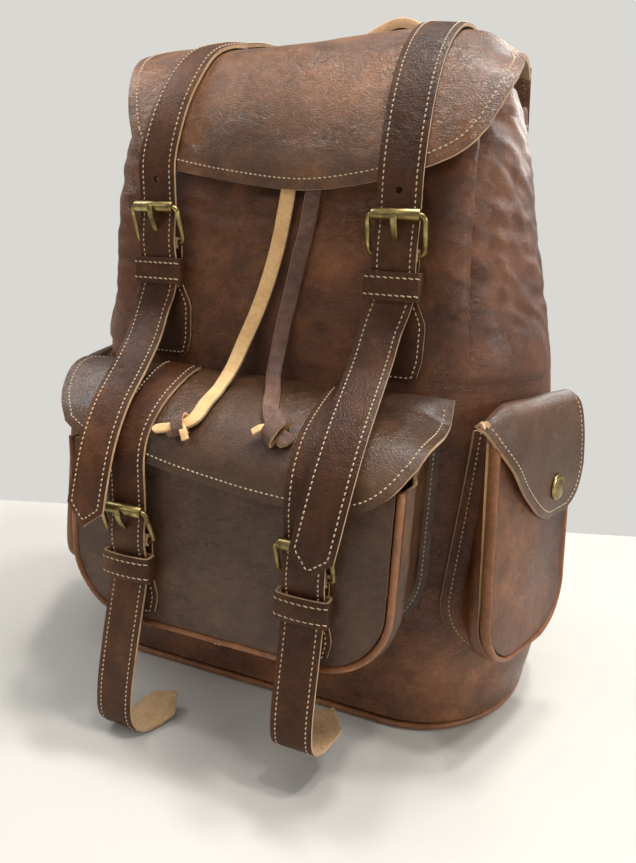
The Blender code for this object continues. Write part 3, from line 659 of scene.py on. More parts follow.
def sack_sag(u, z, p):
    """How far the soft hide stands off its plain shape, outward."""
    side = abs(u)
    high = ease(0.245, 0.300, z)
    # the long fold that the drawn mouth sends down beside each strap
    fold = side - fold_at(u, z)
    round_part = math.sqrt(max(0.0, 1 - ((fold + 0.042) / 0.046) ** 2))
    lip = 0.0072 * (bell(fold + 0.042, 0.052) if fold < -0.042 else round_part)
    behind = -0.0085 * math.exp(-max(0.0, fold) / 0.062)
    cross = ease(0.0, 0.0055, fold)
    push = (lip + (behind - lip) * cross) * ease(0.238, 0.300, z) * (1.0 if u > 0 else 0.8)
    # a broad dent above the side pocket's level and the belly under it
    push += -0.0052 * bell(side - 0.60, 0.10) * bell(z - 0.322, 0.036)
    push += 0.0034 * bell(side - 0.56, 0.12) * bell(z - 0.258, 0.026)
    push += -0.0040 * bell(side - 0.80, 0.05) * bell(z - 0.372, 0.060)
    # gathers at the mouth
    gather = ease(0.385, 0.424, z)
    push += gather * (0.0028 * math.sin(31 * u + 1.2) + 0.0016 * math.sin(57 * u) - 0.0016)
    # slanting wrinkles on the sides and light ones on the front
    slant = math.sin((z * 1.0 + p.y * 0.55) * 210 + 3.0 * rough(p, 14))
    push += 0.0007 * slant * bell(side - 0.62, 0.17) * high * (0.5 + rough(p, 20, 4.0))
    push += 0.0011 * rough(p, 30, 1.0) * high + 0.0010 * rough(p, 13, 9.0)
    push += 0.0011 * rough((p.x + p.z * 0.6, p.y + p.z * 0.8, p.z * 2.0), 60, 3.0) * (0.3 + high)
    # the front stays flat where patches and pockets are sewn down
    if u > -0.42 and u < 0.42 and p.y < -0.05:
        sewn = bell(abs(p.x) - FLAP_STRAP_X, 0.026) * bell(z - 0.272, 0.045)
        push *= 1 - min(1.0, 1.25 * sewn)
        push -= 0.0002
    if z < 0.245:
        push = push * 0.45 - 0.0004
    if z < 0.05 and z > 0.012:
        push += 0.0008 * math.sin((z - 0.012) / 0.038 * math.pi)
    return push


def sack(u, z):
    """The sack's outer surface, sagged and folded."""
    p = sack_point(u, z, soft_station)
    d = 0.004
    right = (sack_point(min(1.0, u + d), z, soft_station)
             - sack_point(max(-1.0, u - d), z, soft_station))
    down = sack_point(u, z - 0.004, soft_station) - sack_point(u, z + 0.004, soft_station)
    out = down.cross(right).normalized()
    return p + out * sack_sag(u, z, p)


def hide_body():
    low, high = BODY_LOW_Z + 0.0004, MOUTH_Z

    columns = sack_columns()
    last = len(columns) - 1

    def at(u, v):
        ripple = 0.0016 * math.sin(44 * u) * (1 - ease(0.0, 0.05, v))
        return sack(columns[round(u * last)], high - (high - low) * v + ripple)

    item = panel("sack_hide", at, last, 160, LEATHER, [HIDE, FLESH, EDGE])
    return settle(item, "sack", ["body_wrap"])


def panel(name, at, across, down, thick, mats, away=None):
    """A leather panel from at(u, v) -> point, seen from outside: u runs right, v runs down."""
    grid = [[at(j / across, i / down) for j in range(across + 1)] for i in range(down + 1)]

    def out(i, j):
        right = grid[i][min(across, j + 1)] - grid[i][max(0, j - 1)]
        below = grid[min(down, i + 1)][j] - grid[max(0, i - 1)][j]
        return below.cross(right).normalized()

    normals = [[out(i, j) for j in range(across + 1)] for i in range(down + 1)]
    if away is not None:
        mid = grid[down // 2][across // 2]
        if normals[down // 2][across // 2].dot(mid - away) < 0:
            grid = [list(reversed(row)) for row in grid]
            normals = [[-n for n in reversed(row)] for row in normals]
    columns = across + 1
    verts = [tuple(p) for row in grid for p in row]
    verts += [tuple(p - n * thick) for rp, rn in zip(grid, normals) for p, n in zip(rp, rn)]
    shift = len(grid) * columns
    faces, kinds, used = [], [], {}
    for i in range(down):
        for j in range(across):
            a, b = i * columns + j, (i + 1) * columns + j
            quad = (a, b, b + 1, a + 1)
            faces.append(quad)
            kinds.append(0)
            faces.append(tuple(q + shift for q in reversed(quad)))
            kinds.append(1)
            for k in range(4):
                used[(quad[k], quad[(k + 1) % 4])] = True
    for a, b in list(used):
        if (b, a) not in used:
            faces.append((b, a, a + shift, b + shift))
            kinds.append(2)
    return body(name, verts, faces, mats, kinds, 50, fixed=False)


# ------------------------------------------------------------------ patch pockets
PIPING_RADIUS = 0.0024
FLANGE = 0.0080
POCKET_FACE_Y = -0.1425


class Side:
    """A pocket's own directions: out from its face, along it, and up."""

    def __init__(self, x, y, turn, sign=1, lean=0.0, foot=0.0):
        self.lean, self.foot = lean, foot
        self.origin = Vector((sign * x, y, 0))
        self.out = Vector((sign * math.cos(turn), -math.sin(turn), 0))
        self.along = Vector((sign * math.sin(turn), math.cos(turn), 0))
        self.cache = {}

    def at(self, t, z, n=0.0):
        return (self.origin + self.along * t + self.out * (n - self.lean * (z - self.foot))
                + Z_AXIS * z)

    def sack(self, t, z):
        """How far behind the face the sack's surface lies."""
        key = (round(t, 5), round(z, 5))
        if key not in self.cache:
            near, far = 0.0, -0.12
            for _ in range(22):
                n = (near + far) / 2
                p = self.at(t, z, n)
                if p.y > station(z)[1] and abs(p.x) < sack_x(p.y, z):
                    far = n
                else:
                    near = n
            self.cache[key] = near
        return self.cache[key]


FRONT = Side(0.0, POCKET_FACE_Y, 0.0)
FRONT.out = Vector((0, -1, 0))
FRONT.along = Vector((1, 0, 0))


def u_path(half, low, high, radius, steps=12, straight=14):
    """Down one side, round the bottom and up the other, with outward directions."""
    path = []
    for k in range(straight):
        path.append((-half, high + (low + radius - high) * k / straight, -1, 0))
    for k in range(steps + 1):
        a = math.radians(90) * k / steps
        path.append((-half + radius - radius * math.cos(a), low + radius - radius * math.sin(a),
                     -math.cos(a), -math.sin(a)))
    for k in range(1, 16):
        path.append((-half + radius + (2 * half - 2 * radius) * k / 16, low, 0, -1))
    right = [(-t, z, -nt, nz) for t, z, nt, nz in reversed(path[:straight + steps + 1])]
    return path + right


def pocket(prefix, suffix, side, half, low, high, radius, foot, bulge, mat, narrow=0.0, rise=0.0):
    """foot: how much narrower the gusset is at the sack; narrow: more so at its front's top."""
    path = u_path(half, low, high, radius)
    count = len(path) - 1
    profile = ((FLANGE, 0.0036), (FLANGE * 0.5, 0.0035), (0.0028, 0.0036), (0.0012, 0.0046),
               (0.0008, 0.0075))
    steps = 15

    def seat(k, reach, lift):
        """Point over the sack's surface, reach outside the gusset's foot."""
        t, z, nt, nz = path[k]
        up = max(0.0, (z - low - radius) / (high - low - radius))
        a = t * (foot - (narrow * up if t < 0 else 0.0)) + nt * reach
        b = z + nz * reach + rise * up
        return a, b, side.sack(a, b) + lift + 0.0010 * up

    def wall(k, w):
        """Point on the gusset's outer face; w runs from the flange's edge to the face."""
        t, z, nt, nz = path[k]
        if w < 5:
            return side.at(*seat(k, *profile[int(w)]))
        share = 1 - (1 - (w - 4) / steps) ** 1.7
        low_t, low_z, low_n = seat(k, 0.0, 0.0075)
        n = low_n + (-0.0046 - low_n) * share
        p = side.at(low_t + (t - low_t) * share, low_z + (z - low_z) * share, n)
        swell = math.sin(math.pi * share)
        puff = swell * (0.0010 + 0.0018 * rough(p, 32, 5.0) + 0.0009 * rough(p, 70, 2.0))
        puff += 0.0040 * bell(n + 0.0105, 0.0055) * (1 + 0.25 * rough(p, 50, 3.0))
        return (p + side.along * (nt * (0.0008 + puff)) + Z_AXIS * (nz * (0.0008 + puff)))

    grid = {}

    def at(u, v):
        k, w = round(u * count), round(v * (4 + steps))
        if (k, w) not in grid:
            grid[(k, w)] = wall(k, w)
        return grid[(k, w)]

    gusset = panel(f"{prefix}_wall{suffix}", at, count, 4 + steps, 0.0020, [mat, FLESH, EDGE],
                   away=side.at(0, (low + high) / 2, -0.02))
    settle(gusset, "sack", [f"{prefix}_gusset{suffix}"])

    inner_half, inner_low, inner_r = half - 0.0031, low + 0.0031, radius - 0.0031

    def face(u, v):
        c = math.sin(math.radians(90) * (2 * u - 1))
        t = c * inner_half
        over = abs(t) - (inner_half - inner_r)
        bottom = inner_low
        if over > 0:
            bottom += inner_r - math.sqrt(max(0.0, inner_r ** 2 - over ** 2))
        z = high + (bottom - high) * v
        p = side.at(t, z, LEATHER)
        return p + side.out * bulge(t, z, p)

    front = panel(f"{prefix}_face{suffix}", face, 72, 56, LEATHER, [mat, FLESH, EDGE],
                  away=side.at(0, (low + high) / 2, -0.03))
    settle(front, "sack", [f"{prefix}_panel{suffix}"])

    seam = [side.at(t, z, -0.0005) for t, z, nt, nz in path]
    wavy = [p + side.out * 0.0003 * rough(p, 60) for p in seam]
    ways = [(side.along * nt + Z_AXIS * nz).normalized() for t, z, nt, nz in path]
    rope = welt(f"{prefix}_welt{suffix}", wavy, ways, side.out, 0.0023, 0.0037)
    settle(rope, "sack", [f"{prefix}_piping{suffix}"])

    line = []
    for k in range(count + 1):
        a, b, n = seat(k, FLANGE * 0.52, 0.0035)
        p = side.at(a, b, n)
        q = side.at(a + 0.002, b, side.sack(a + 0.002, b) + n - side.sack(a, b))
        r = side.at(a, b + 0.002, side.sack(a, b + 0.002) + n - side.sack(a, b))
        n = (q - p).cross(r - p).normalized()
        line.append((p, n if n.dot(side.out) > 0 else -n))
    stitches(f"{prefix}_seam{suffix}", "sack", spaced(line, 0.002))
    line = []
    for t, z, nt, nz in path:
        a, b = t - nt * 0.0060, z - nz * 0.0060
        p = side.at(a, b, LEATHER)
        line.append((p + side.out * bulge(a, b, p), side.out))
    return line


def welt(name, line, ways, out, wide, deep):
    """A flattened rope along a line; wide is its half size along ways, deep along out."""
    sides = 12
    verts = []
    for p, way in zip(line, ways):
        for k in range(sides):
            a = 2 * math.pi * k / sides
            verts.append(tuple(p + way * (wide * math.cos(a)) + out * (deep * math.sin(a))))
    last = len(line) - 1
    faces = [tuple(range(sides)), tuple(last * sides + k for k in range(sides))]
    return body(name, verts, faces + bands(len(line), sides), [PIPING_HIDE])


def spaced(line, step):
    """A (point, normal) line cut into even short steps."""
    points = [p for p, n in line]
    count = max(2, int(length_of(points) / step))
    even = spread(points, count)
    out, at = [], 0
    for p in even:
        best = min(range(max(0, at - 3), min(len(line), at + 9)),
                   key=lambda k: (line[k][0] - p).length_squared)
        at = best
        out.append((p, line[best][1]))
    return out


# ------------------------------------------------------------------ flaps
def through(rows):
    """A smooth curve through rows of (place, value, value), as a function of place."""
    line = smooth(rows, 80)
    low, high = line[0].x, line[-1].x
    even, at = [], 0
    for k in range(241):
        place = low + (high - low) * k / 240
        while at < len(line) - 2 and line[at + 1].x < place:
            at += 1
        a, b = line[at], line[at + 1]
        even.append(a.lerp(b, min(1.0, max(0.0, (place - a.x) / max(1e-9, b.x - a.x)))))

    def look(place):
        part = min(239.999, max(0.0, (place - low) / (high - low) * 240))
        return even[int(part)].lerp(even[int(part) + 1], part - int(part))

    return look


class Flap:
    """A flap surface: l metres along its side view, x metres across it."""

    def __init__(self, side, profile, sides, front, wave, droop=0.0):
        self.side = side
        self.line = smooth([(n, z, 0) for n, z in profile], 90)
        self.length = length_of(self.line)
        self.sides, self.front = through(sides), through(front)
        self.droop, self.wave = droop, wave

    def span(self, l):
        """Middle and half width at l."""
        here = self.sides(l)
        return (here.y + here.z) / 2, (here.z - here.y) / 2

    def plain(self, l, x):
        part = max(0.0, min(0.99999, l / self.length)) * (len(self.line) - 1)
        low = int(part)
        n, z, _ = self.line[low].lerp(self.line[low + 1], part - low)
        middle, half = self.span(l)
        fall = self.droop * abs((x - middle) / half) ** 3 * min(1.0, l / 0.06)
        return self.side.at(x, z - fall, n)

    def facing(self, look, l, x, step):
        """Outward direction of the surface look(l, x)."""
        down = look(min(self.length, l + step), x) - look(max(0, l - step), x)
        right = look(l, x + step) - look(l, x - step)
        away = right.cross(down).normalized()
        return away if away.dot(self.side.out + Z_AXIS) > 0 else -away

    def at(self, l, x):
        p = self.plain(l, x)
        return p + self.facing(self.plain, l, x, 0.0020) * self.wave(l, x, p)

    def normal(self, l, x):
        return self.facing(self.at, l, x, 0.0015)

    def spot(self, share, c):
        """(l, x) at a share of the way from the hinge to the free edge, c across."""
        l = min(self.length, self.front(c).y) * share
        middle, half = self.span(l)
        return l, middle + c * half

    def edge(self, x):
        l = self.length
        for _ in range(6):
            middle, half = self.span(l)
            l = self.front(max(-1.0, min(1.0, (x - middle) / half))).y
        return min(l, self.length)

    def build(self, name, down, across, mats, nodes, rides):
        def at(u, v):
            l, x = self.spot(v, math.sin(math.radians(90) * (2 * u - 1)))
            return self.at(l, x) + self.normal(l, x) * LEATHER / 2

        item = panel(name, at, across, down, LEATHER, mats, away=self.side.at(0, 0.2, -0.10))
        return settle(item, rides, nodes)

    def rim(self, depth, start=0.004, lift=LEATHER / 2):
        """The line that runs depth inside the flap's free edge."""
        flat = [self.spot(k / 25, -1.0) for k in range(25)]
        flat += [self.spot(1.0, math.sin(math.radians(90) * (k / 60 - 1))) for k in range(121)]
        flat += [self.spot(k / 25, 1.0) for k in range(24, -1, -1)]
        moved = inset_path([(x, l) for l, x in flat], -depth)
        if not flat[12][1] < moved[12][0]:
            moved = inset_path([(x, l) for l, x in flat], depth)
        line = [(self.at(l, x) + self.normal(l, x) * lift, self.normal(l, x))
                for x, l in moved if l > start]
        return spaced(line, 0.0015)


STRAP_WIDTH = 0.026
STRAP_LIFT = LEATHER / 2 + STRAP / 2 + 0.0010
FLAP_STRAP_X = 0.0794
FLAP_STRAP_TOP_X = 0.0670
FLAP_STRAP_TOP_SHIFT = 0.0150
POCKET_STRAP_X = 0.0592
FLAP_PROFILE = [(0.0690, 0.4530), (0.0450, 0.4590), (0.0050, 0.4585), (-0.0300, 0.4490),
                (-0.0600, 0.4295), (-0.0790, 0.4020), (-0.0865, 0.3720), (-0.0872, 0.3495)]
# length along the flap, its left and right edges there
FLAP_SIDES = [(0.0, -0.119, 0.127), (0.050, -0.123, 0.129), (0.100, -0.1255, 0.131),
              (0.125, -0.122, 0.135), (0.150, -0.1145, 0.1345), (0.170, -0.108, 0.129),
              (0.190, -0.101, 0.121), (0.224, -0.094, 0.112)]
# share of the half width, length of the flap there
FLAP_FRONT = [(-1.0, 0.1860, 0), (-0.97, 0.1950, 0), (-0.88, 0.2045, 0), (-0.65, 0.2130, 0),
              (-0.30, 0.2200, 0), (0.10, 0.2235, 0), (0.45, 0.2190, 0), (0.70, 0.2110, 0),
              (0.87, 0.2020, 0), (0.96, 0.1930, 0), (1.0, 0.1830, 0)]
POCKET_FLAP_SIDES = [(0.0, -0.127, 0.1215), (0.014, -0.1335, 0.1225), (0.030, -0.1335, 0.1220),
                     (0.046, -0.128, 0.1205), (0.060, -0.120, 0.1175), (0.075, -0.108, 0.1125),
                     (0.101, -0.092, 0.106)]
POCKET_FLAP_FRONT = [(-1.0, 0.0730, 0), (-0.95, 0.0775, 0), (-0.867, 0.0815, 0),
                     (-0.60, 0.0870, 0), (-0.275, 0.0934, 0), (0.22, 0.0990, 0),
                     (0.50, 0.1000, 0), (0.70, 0.0985, 0), (0.84, 0.0940, 0),
                     (0.93, 0.0860, 0), (0.98, 0.0765, 0), (1.0, 0.0670, 0)]
POCKET_FLAP_PROFILE = [(-0.0825, 0.2350), (-0.1050, 0.2305), (-0.1340, 0.2160),
                       (-0.1490, 0.1985), (-0.1530, 0.1765)]


def flap_wave(l, x, p):
    """The flap dips between its straps, rises under the handle and curls down at its right end."""
    push = -0.0065 * bell(x + 0.028, 0.052) * ease(0.0, 0.030, l) * (1 - ease(0.095, 0.140, l))
    push += 0.0150 * bell(x - 0.047, 0.027) * ease(-0.002, 0.014, l) * (1 - ease(0.016, 0.075, l))
    push -= 0.0105 * ease(0.098, 0.131, x) ** 1.4 * (1 - ease(0.105, 0.160, l))
    push += 0.0022 * bell(x + 0.020, 0.040) * bell(l - 0.150, 0.040)
    push += 0.0010 * rough(p, 17, 3.0) + 0.0005 * rough(p, 45, 8.0)
    strapped = bell(abs(x) - FLAP_STRAP_X, 0.016)
    return push * (1 - 0.6 * strapped * ease(0.10, 0.15, l))


def pocket_flap_wave(l, x, p):
    push = 0.0012 * rough(p, 24, 6.0) + 0.0004 * rough(p, 60, 1.0)
    push += 0.0016 * bell(x, 0.035) * bell(l - 0.060, 0.030)
    strapped = bell(abs(x) - POCKET_STRAP_X, 0.016)
    push = push * (1 - 0.6 * strapped) - 0.0002
    tilt = 0.0040 * ease(0.03, 0.10, -x) - 0.0045 * ease(0.02, 0.10, x)
    tilt -= 0.0065 * ease(0.098, 0.122, x)
    return push + tilt * ease(-0.002, 0.016, l) * (1 - ease(0.022, 0.060, l))


def side_flap_wave(l, x, p):
    """The flap's front corner hangs over the pocket's open end."""
    corner = ease(0.028, 0.062, -x) * (1 - ease(0.010, 0.046, l))
    return 0.0007 * rough(p, 30, 2.0) - 0.0100 * corner


def front_profile(points):
    return [(POCKET_FACE_Y - y, z) for y, z in points]


MAIN_FLAP = Flap(FRONT, front_profile(FLAP_PROFILE), FLAP_SIDES, FLAP_FRONT, flap_wave, 0.006)
POCKET_FLAP = Flap(FRONT, front_profile(POCKET_FLAP_PROFILE), POCKET_FLAP_SIDES,
                   POCKET_FLAP_FRONT, pocket_flap_wave)

ROLLER_RISE = 0.0215
BAR_OUT = 0.0046
ROLLER_OUT = 0.0136
WIRE = 0.0016
ROLLER_RADIUS = 0.0035
ROLLER_HALF = 0.0140
FRAME_HALF = 0.0168
FLAP_BAR_Z = 0.3165
POCKET_BAR_Z = 0.1370
KEEPER_HEIGHT = 0.0165
KEEPER_HALF = 0.0172
KEEPER_OUT = 0.0076
KEEPER_DEEP = 0.0048
KEEPER_BELOW_BAR = 0.0178


def threaded(face_y, bar_z):
    """A strap's side view from over the roller down through the keeper."""
    outs = ((ROLLER_RISE, 0.0086), (0.0140, 0.0092), (0.0075, 0.0102), (0.0, 0.0104),
            (-0.0055, 0.0096), (-0.0098, 0.0083), (-KEEPER_BELOW_BAR, 0.0076),
            (-0.0255, 0.0078))
    return [(face_y - out, bar_z + rise) for rise, out in outs]


def sewn_part(flap, start_x, end_x, start, end, power=1.4):
    """Where a strap runs on its flap: middle line, directions across and out."""
    points, across, outs = [], [], []
    count = 44
    for i in range(count + 1):
        l = start + (end - start) * i / count
        x = start_x + (end_x - start_x) * (i / count) ** power
        n = flap.normal(l, x)
        points.append(flap.at(l, x) + n * (STRAP_LIFT + 0.0002))
        step = flap.at(l, x + 0.004) - flap.at(l, x - 0.004)
        across.append(step.normalized())
        outs.append(n)
    return points, across, outs


def whole_strap(points, across, outs, tail):
    """Join the sewn part and the loose end, easing one into the other."""
    line = smooth(tail, 90)
    first = next(k for k, p in enumerate(line) if (p - points[-1]).length > 0.004)
    rest = line[first:]
    return (points + rest, across + [X_AXIS] * len(rest),
            outs + [Vector((0, -1, 0.05))] * len(rest))


def relax(points, times):
    """Smooth a polyline by averaging neighbours; its ends stay."""
    pts = [p.copy() for p in points]
    for _ in range(times):
        new = [p.copy() for p in pts]
        for i in range(1, len(pts) - 1):
            new[i] = pts[i] * 0.5 + (pts[i - 1] + pts[i + 1]) * 0.25
        pts = new
    return pts


def carried_strip(points, ways, outs):
    """A strip whose outward side is carried along the line, so that it can curl under."""
    strip = Strip(points, ways, None)
    ref = outs[0]
    for i in range(len(points)):
        if strip.up[i].dot(ref) < 0:
            strip.up[i] = -strip.up[i]
        ref = strip.up[i]
    return strip


def buckled_strap(kind, word, sewn, path, past, times, tip, hole=None):
    """A strap from its sewn start to its loose tip."""
    end = Vector(path[-1])
    path[-1] = end + (end - Vector(path[-2])).normalized() * past
    points, ways, outs = whole_strap(*sewn, path)
    strip = carried_strip(relax(points, times), ways, outs)
    item = strap(f"{kind}_strap_{word}_whole", strip, STRAP_WIDTH, STRAP, tip=tip)
    if hole:
        pierce(item, hole, 0.0019)
    rows = strap_rows(f"{kind}_strap_{word}_rows", None, strip, STRAP_WIDTH, STRAP,
                      0.002, strip.length, tip=tip)
    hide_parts(f"{kind}_strap_{word}", f"{kind}_strap_tail_{word}")
    for piece in (item, *rows):
        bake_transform(piece)


def flap_straps():
    hang = [(-0.0900, 0.2740), (-0.1030, 0.2560), (-0.1225, 0.2390), (-0.1450, 0.2205),
            (-0.1600, 0.1990), (-0.1668, 0.1760), (-0.1690, 0.1580)]
    places = {"left": (-0.0840, -0.0820, -0.0790, -0.0762, -0.0750, -0.0760, -0.0780),
              "right": (0.0748, 0.0741, 0.0741, 0.0746, 0.0736, 0.0710, 0.0682)}
    for word, sign in WORDS:
        top_x = sign * FLAP_STRAP_X
        edge = MAIN_FLAP.edge(top_x)
        start = MAIN_FLAP.plain(edge, top_x)
        side_view = [(start.y - STRAP_LIFT, start.z - 0.001)] + threaded(FRONT_Y, FLAP_BAR_Z) + hang
        across = [top_x] * (len(side_view) - len(hang)) + list(places[word])
        path = [(x, y, z) for x, (y, z) in zip(across, side_view)]
        sewn = sewn_part(MAIN_FLAP, FLAP_STRAP_TOP_SHIFT + sign * FLAP_STRAP_TOP_X, top_x,
                         0.008, edge - 0.004)
        buckled_strap("flap", word, sewn, path, 0.011, 3, 0.0125,
                      start + Vector((0, -STRAP_LIFT, -0.0085)))


def pocket_straps():
    hang = [(-0.1560, 0.0920), (-0.1605, 0.0620), (-0.1632, 0.0340), (-0.1615, 0.0130),
            (-0.1530, 0.0036), (-0.1400, 0.0034), (-0.1270, 0.0080)]
    drift = {"left": (-POCKET_STRAP_X, -0.0075, 0.0170, 0.0),
             "right": (POCKET_STRAP_X, 0.0030, 0.0090, 0.026)}
    for word, (top_x, hung, curled, lift) in drift.items():
        edge = POCKET_FLAP.edge(top_x)
        start = POCKET_FLAP.plain(edge, top_x)
        side_view = [(start.y - STRAP_LIFT, start.z - 0.001)]
        side_view += threaded(POCKET_FACE_Y - LEATHER, POCKET_BAR_Z)
        side_view += [(y, z + lift * (1 - z / hang[0][1])) for y, z in hang]
        path = []
        for y, z in side_view:
            part = max(0.0, (POCKET_BAR_Z - 0.03 - z) / POCKET_BAR_Z)
            curl = max(0.0, (y + 0.1632) / 0.036) if z < 0.045 else 0.0
            path.append((top_x + hung * part + curled * curl, y - 0.003 * part, z))
        sewn = sewn_part(POCKET_FLAP, top_x, top_x, 0.008, edge - 0.004)
        buckled_strap("pocket", word, sewn, path, 0.009, 2, 0.0110)


# ------------------------------------------------------------------ buckles, patches, keepers
def revolve(name, centre, profile, mats, sides=40):
    """A round piece about a line along X."""
    turns = [2 * math.pi * s / sides for s in range(sides)]
    verts = [centre + Vector((x, r * math.cos(a), r * math.sin(a)))
             for x, r in profile for a in turns]
    faces = [tuple(v % len(verts) for v in face) for face in bands(len(profile) + 1, sides)]
    return body(name, verts, faces, mats, sharp=45)


def buckle(kind, word, x, face_y, bar_z):
    bar = Vector((x, face_y - BAR_OUT, bar_z))
    top = Vector((x, face_y - ROLLER_OUT, bar_z + ROLLER_RISE))
    up = top - bar
    rise = up.length
    up.normalize()
    loop = [bar + X_AXIS * a + up * (rise / 2 + b)
            for part in rounded(FRAME_HALF, rise / 2, 0.0036, 6) for a, b in part]
    made = wire(f"{kind}_frame_{word}_brass", loop, WIRE, [BRASS])
    settle(made, f"{kind}_buckle_{word}", [f"{kind}_buckle_frame_{word}"])
    half, outer, inner = ROLLER_HALF, ROLLER_RADIUS, WIRE + 0.0003
    profile = [(-half + 0.0005, inner), (-half, outer - 0.0005), (-half + 0.0006, outer),
               (half - 0.0006, outer), (half, outer - 0.0005), (half - 0.0005, inner)]
    made = revolve(f"{kind}_barrel_{word}", top, profile, [BRASS])
    settle(made, f"{kind}_roller_{word}", [f"{kind}_buckle_roller_{word}"])
    eye = WIRE + 0.00025 + 0.0010
    line = []
    for k in range(15):
        a = math.radians(20 - 270 * k / 14)
        line.append((BAR_OUT + eye * math.cos(a), bar_z + eye * math.sin(a)))
    tip_out = ROLLER_OUT + ROLLER_RADIUS + 0.0010 + 0.0003
    arm = [line[-1], (BAR_OUT + 0.0055, bar_z + 0.0070), (tip_out - 0.0030, bar_z + 0.0135),
           (tip_out - 0.0003, bar_z + ROLLER_RISE - 0.0030), (tip_out, bar_z + ROLLER_RISE + 0.0008)]
    bent = smooth([(x, face_y - out, z) for out, z in arm], 16)
    points = [Vector((x, face_y - out, z)) for out, z in line[:-1]] + bent
    strip = carried_strip(points, [X_AXIS] * len(points), [Vector((0, 0, 1))] * len(points))
    reach = strip.length

    def wide(l):
        stem = 0.0022 + 0.0015 * ease(reach - 0.019, reach - 0.013, l)
        return stem * math.sqrt(min(1.0, 0.10 + (reach - l) / 0.0022))

    made = strap(f"{kind}_tongue_{word}", strip, wide, 0.0019, mats=[BRASS] * 3, crown=0.0007,
                 step=0.0008)
    settle(made, f"{kind}_prong_{word}", [f"{kind}_buckle_prong_{word}"])


def chape(kind, word, x, face_y, bar_z, low_z, patch):
    flat = GAP + 0.0010
    line = []
    for k in range(25):
        line.append((flat, low_z + (bar_z - 0.009 - low_z) * k / 24))
    for k in range(19):
        angle = math.radians(180 - 250 * k / 18)
        line.append((BAR_OUT + 0.00295 * math.cos(angle), bar_z + 0.00295 * math.sin(angle)))
    centre = [Vector((x, face_y - out, z)) for out, z in line]
    strip = carried_strip(centre, X_AXIS, [Vector((0, -1, 0))])
    shoulder = bar_z - 0.022 - low_z

    def width(l):
        wide = patch * (0.86 + 0.14 * ease(0.0, 0.016, l))
        wide *= math.sqrt(min(1.0, (l + 0.0025) / 0.0060))
        return wide + (STRAP_WIDTH - wide) * ease(shoulder - 0.020, shoulder, l)

    item = strap(f"{kind}_patch_{word}", strip, width, 0.0020, step=0.0018)
    settle(item, "sack", [f"{kind}_chape_{word}"])
    lines = []
    for sign in (-1, 1):
        line = []
        for k in range(50):
            l = 0.0032 + (shoulder + 0.006 - 0.0032) * k / 49
            line.append(strip.at(l, sign * (width(l) / 2 - 0.0032), 0.0010))
        lines.append(line)
    across = [strip.at(0.0032, (width(0.0032) / 2 - 0.0032) * (1 - k / 8), 0.0010)
              for k in range(1, 16)]
    stitches(f"{kind}_patch_rows_{word}", "sack",
             spaced(list(reversed(lines[1])) + across + lines[0], 0.001))


def keeper(kind, word, x, y, z, bulge, bow=0.0):
    half, deep, height = KEEPER_HALF, KEEPER_DEEP, KEEPER_HEIGHT
    corner = 0.0030
    outline = []
    for part, long_side in zip(rounded(half, deep, corner, 6), (True, False, True, False)):
        outline += [Vector((x + a, y + b, 0)) for a, b in part]
        if long_side:
            here = outline[-1]
            there = Vector((2 * x - here.x, here.y, 0))
            outline += [here.lerp(there, k / 12) for k in range(1, 12)]
    n = len(outline)
    rows = 9
    verts = []
    centre = Vector((x, y, 0))

    def puff(p, v):
        front = max(0.0, (y - p.y) / deep)
        over = 1 - ((p.x - x) / half) ** 2
        return Vector((0, -front * (bulge * math.sin(math.pi * v) + bow) * over, 0))

    for layer in (0, 1):
        for i in range(rows):
            v = i / (rows - 1)
            for k, p in enumerate(outline):
                ahead = (outline[(k + 1) % n] - outline[k - 1]).normalized()
                out = Vector((ahead.y, -ahead.x, 0))
                if out.dot(p - centre) < 0:
                    out = -out
                edge = 0.0003 * (abs(2 * v - 1) ** 6)
                q = p - out * (0.0019 if layer else edge) + puff(p, v)
                verts.append((q.x, q.y, z + height * (0.5 - v)))
    inner = rows * n
    faces = bands(rows, n) + bands(rows, n, inner)
    kinds = [0] * (n * (rows - 1)) + [1] * (n * (rows - 1)) + [2] * (2 * n)
    for start in (0, (rows - 1) * n):
        for k in range(n):
            a, b = start + k, start + (k + 1) % n
            faces.append((a, inner + a, inner + b, b))
    item = body(f"{kind}_loop_{word}", verts, faces, [STRAP_HIDE, FLESH, EDGE], kinds, 50)
    settle(item, "sack", [f"{kind}_keeper_{word}"])
    for name, v in (("high", 0.20), ("low", 0.80)):
        line = []
        for k in range(41):
            s = -1 + 2 * k / 40
            px = x + s * (half - 0.0005)
            over = max(0.0, abs(s * (half - 0.0005)) - (half - corner))
            py = y - deep + corner - math.sqrt(max(0.0, corner ** 2 - over ** 2))
            p = Vector((px, py, 0))
            normal = Vector((math.copysign(over, s) * 0.9, -math.sqrt(max(0.0, corner ** 2 - over ** 2)), 0))
            p = p + puff(p, v)
            line.append((Vector((p.x, p.y, z + height * (0.5 - v))), normal.normalized()))
        stitches(f"{kind}_loop_rows_{name}_{word}", "sack", line, pitch=0.0038,
                 long=0.0032, lean=0.2)


def fastenings():
    for word, sign in WORDS:
        x = sign * FLAP_STRAP_X
        chape("flap", word, x, FRONT_Y, FLAP_BAR_Z, 0.2420, 0.0400)
        keeper("flap", word, x, FRONT_Y - KEEPER_OUT, FLAP_BAR_Z - KEEPER_BELOW_BAR, 0.0004)
        buckle("flap", word, x, FRONT_Y, FLAP_BAR_Z)
        x = sign * POCKET_STRAP_X
        face = POCKET_FACE_Y - LEATHER
        chape("pocket", word, x, face, POCKET_BAR_Z, 0.0830, 0.0330)
        keeper("pocket", word, x, face - KEEPER_OUT, POCKET_BAR_Z - KEEPER_BELOW_BAR, 0.0008, 0.0016)
        buckle("pocket", word, x, face, POCKET_BAR_Z)


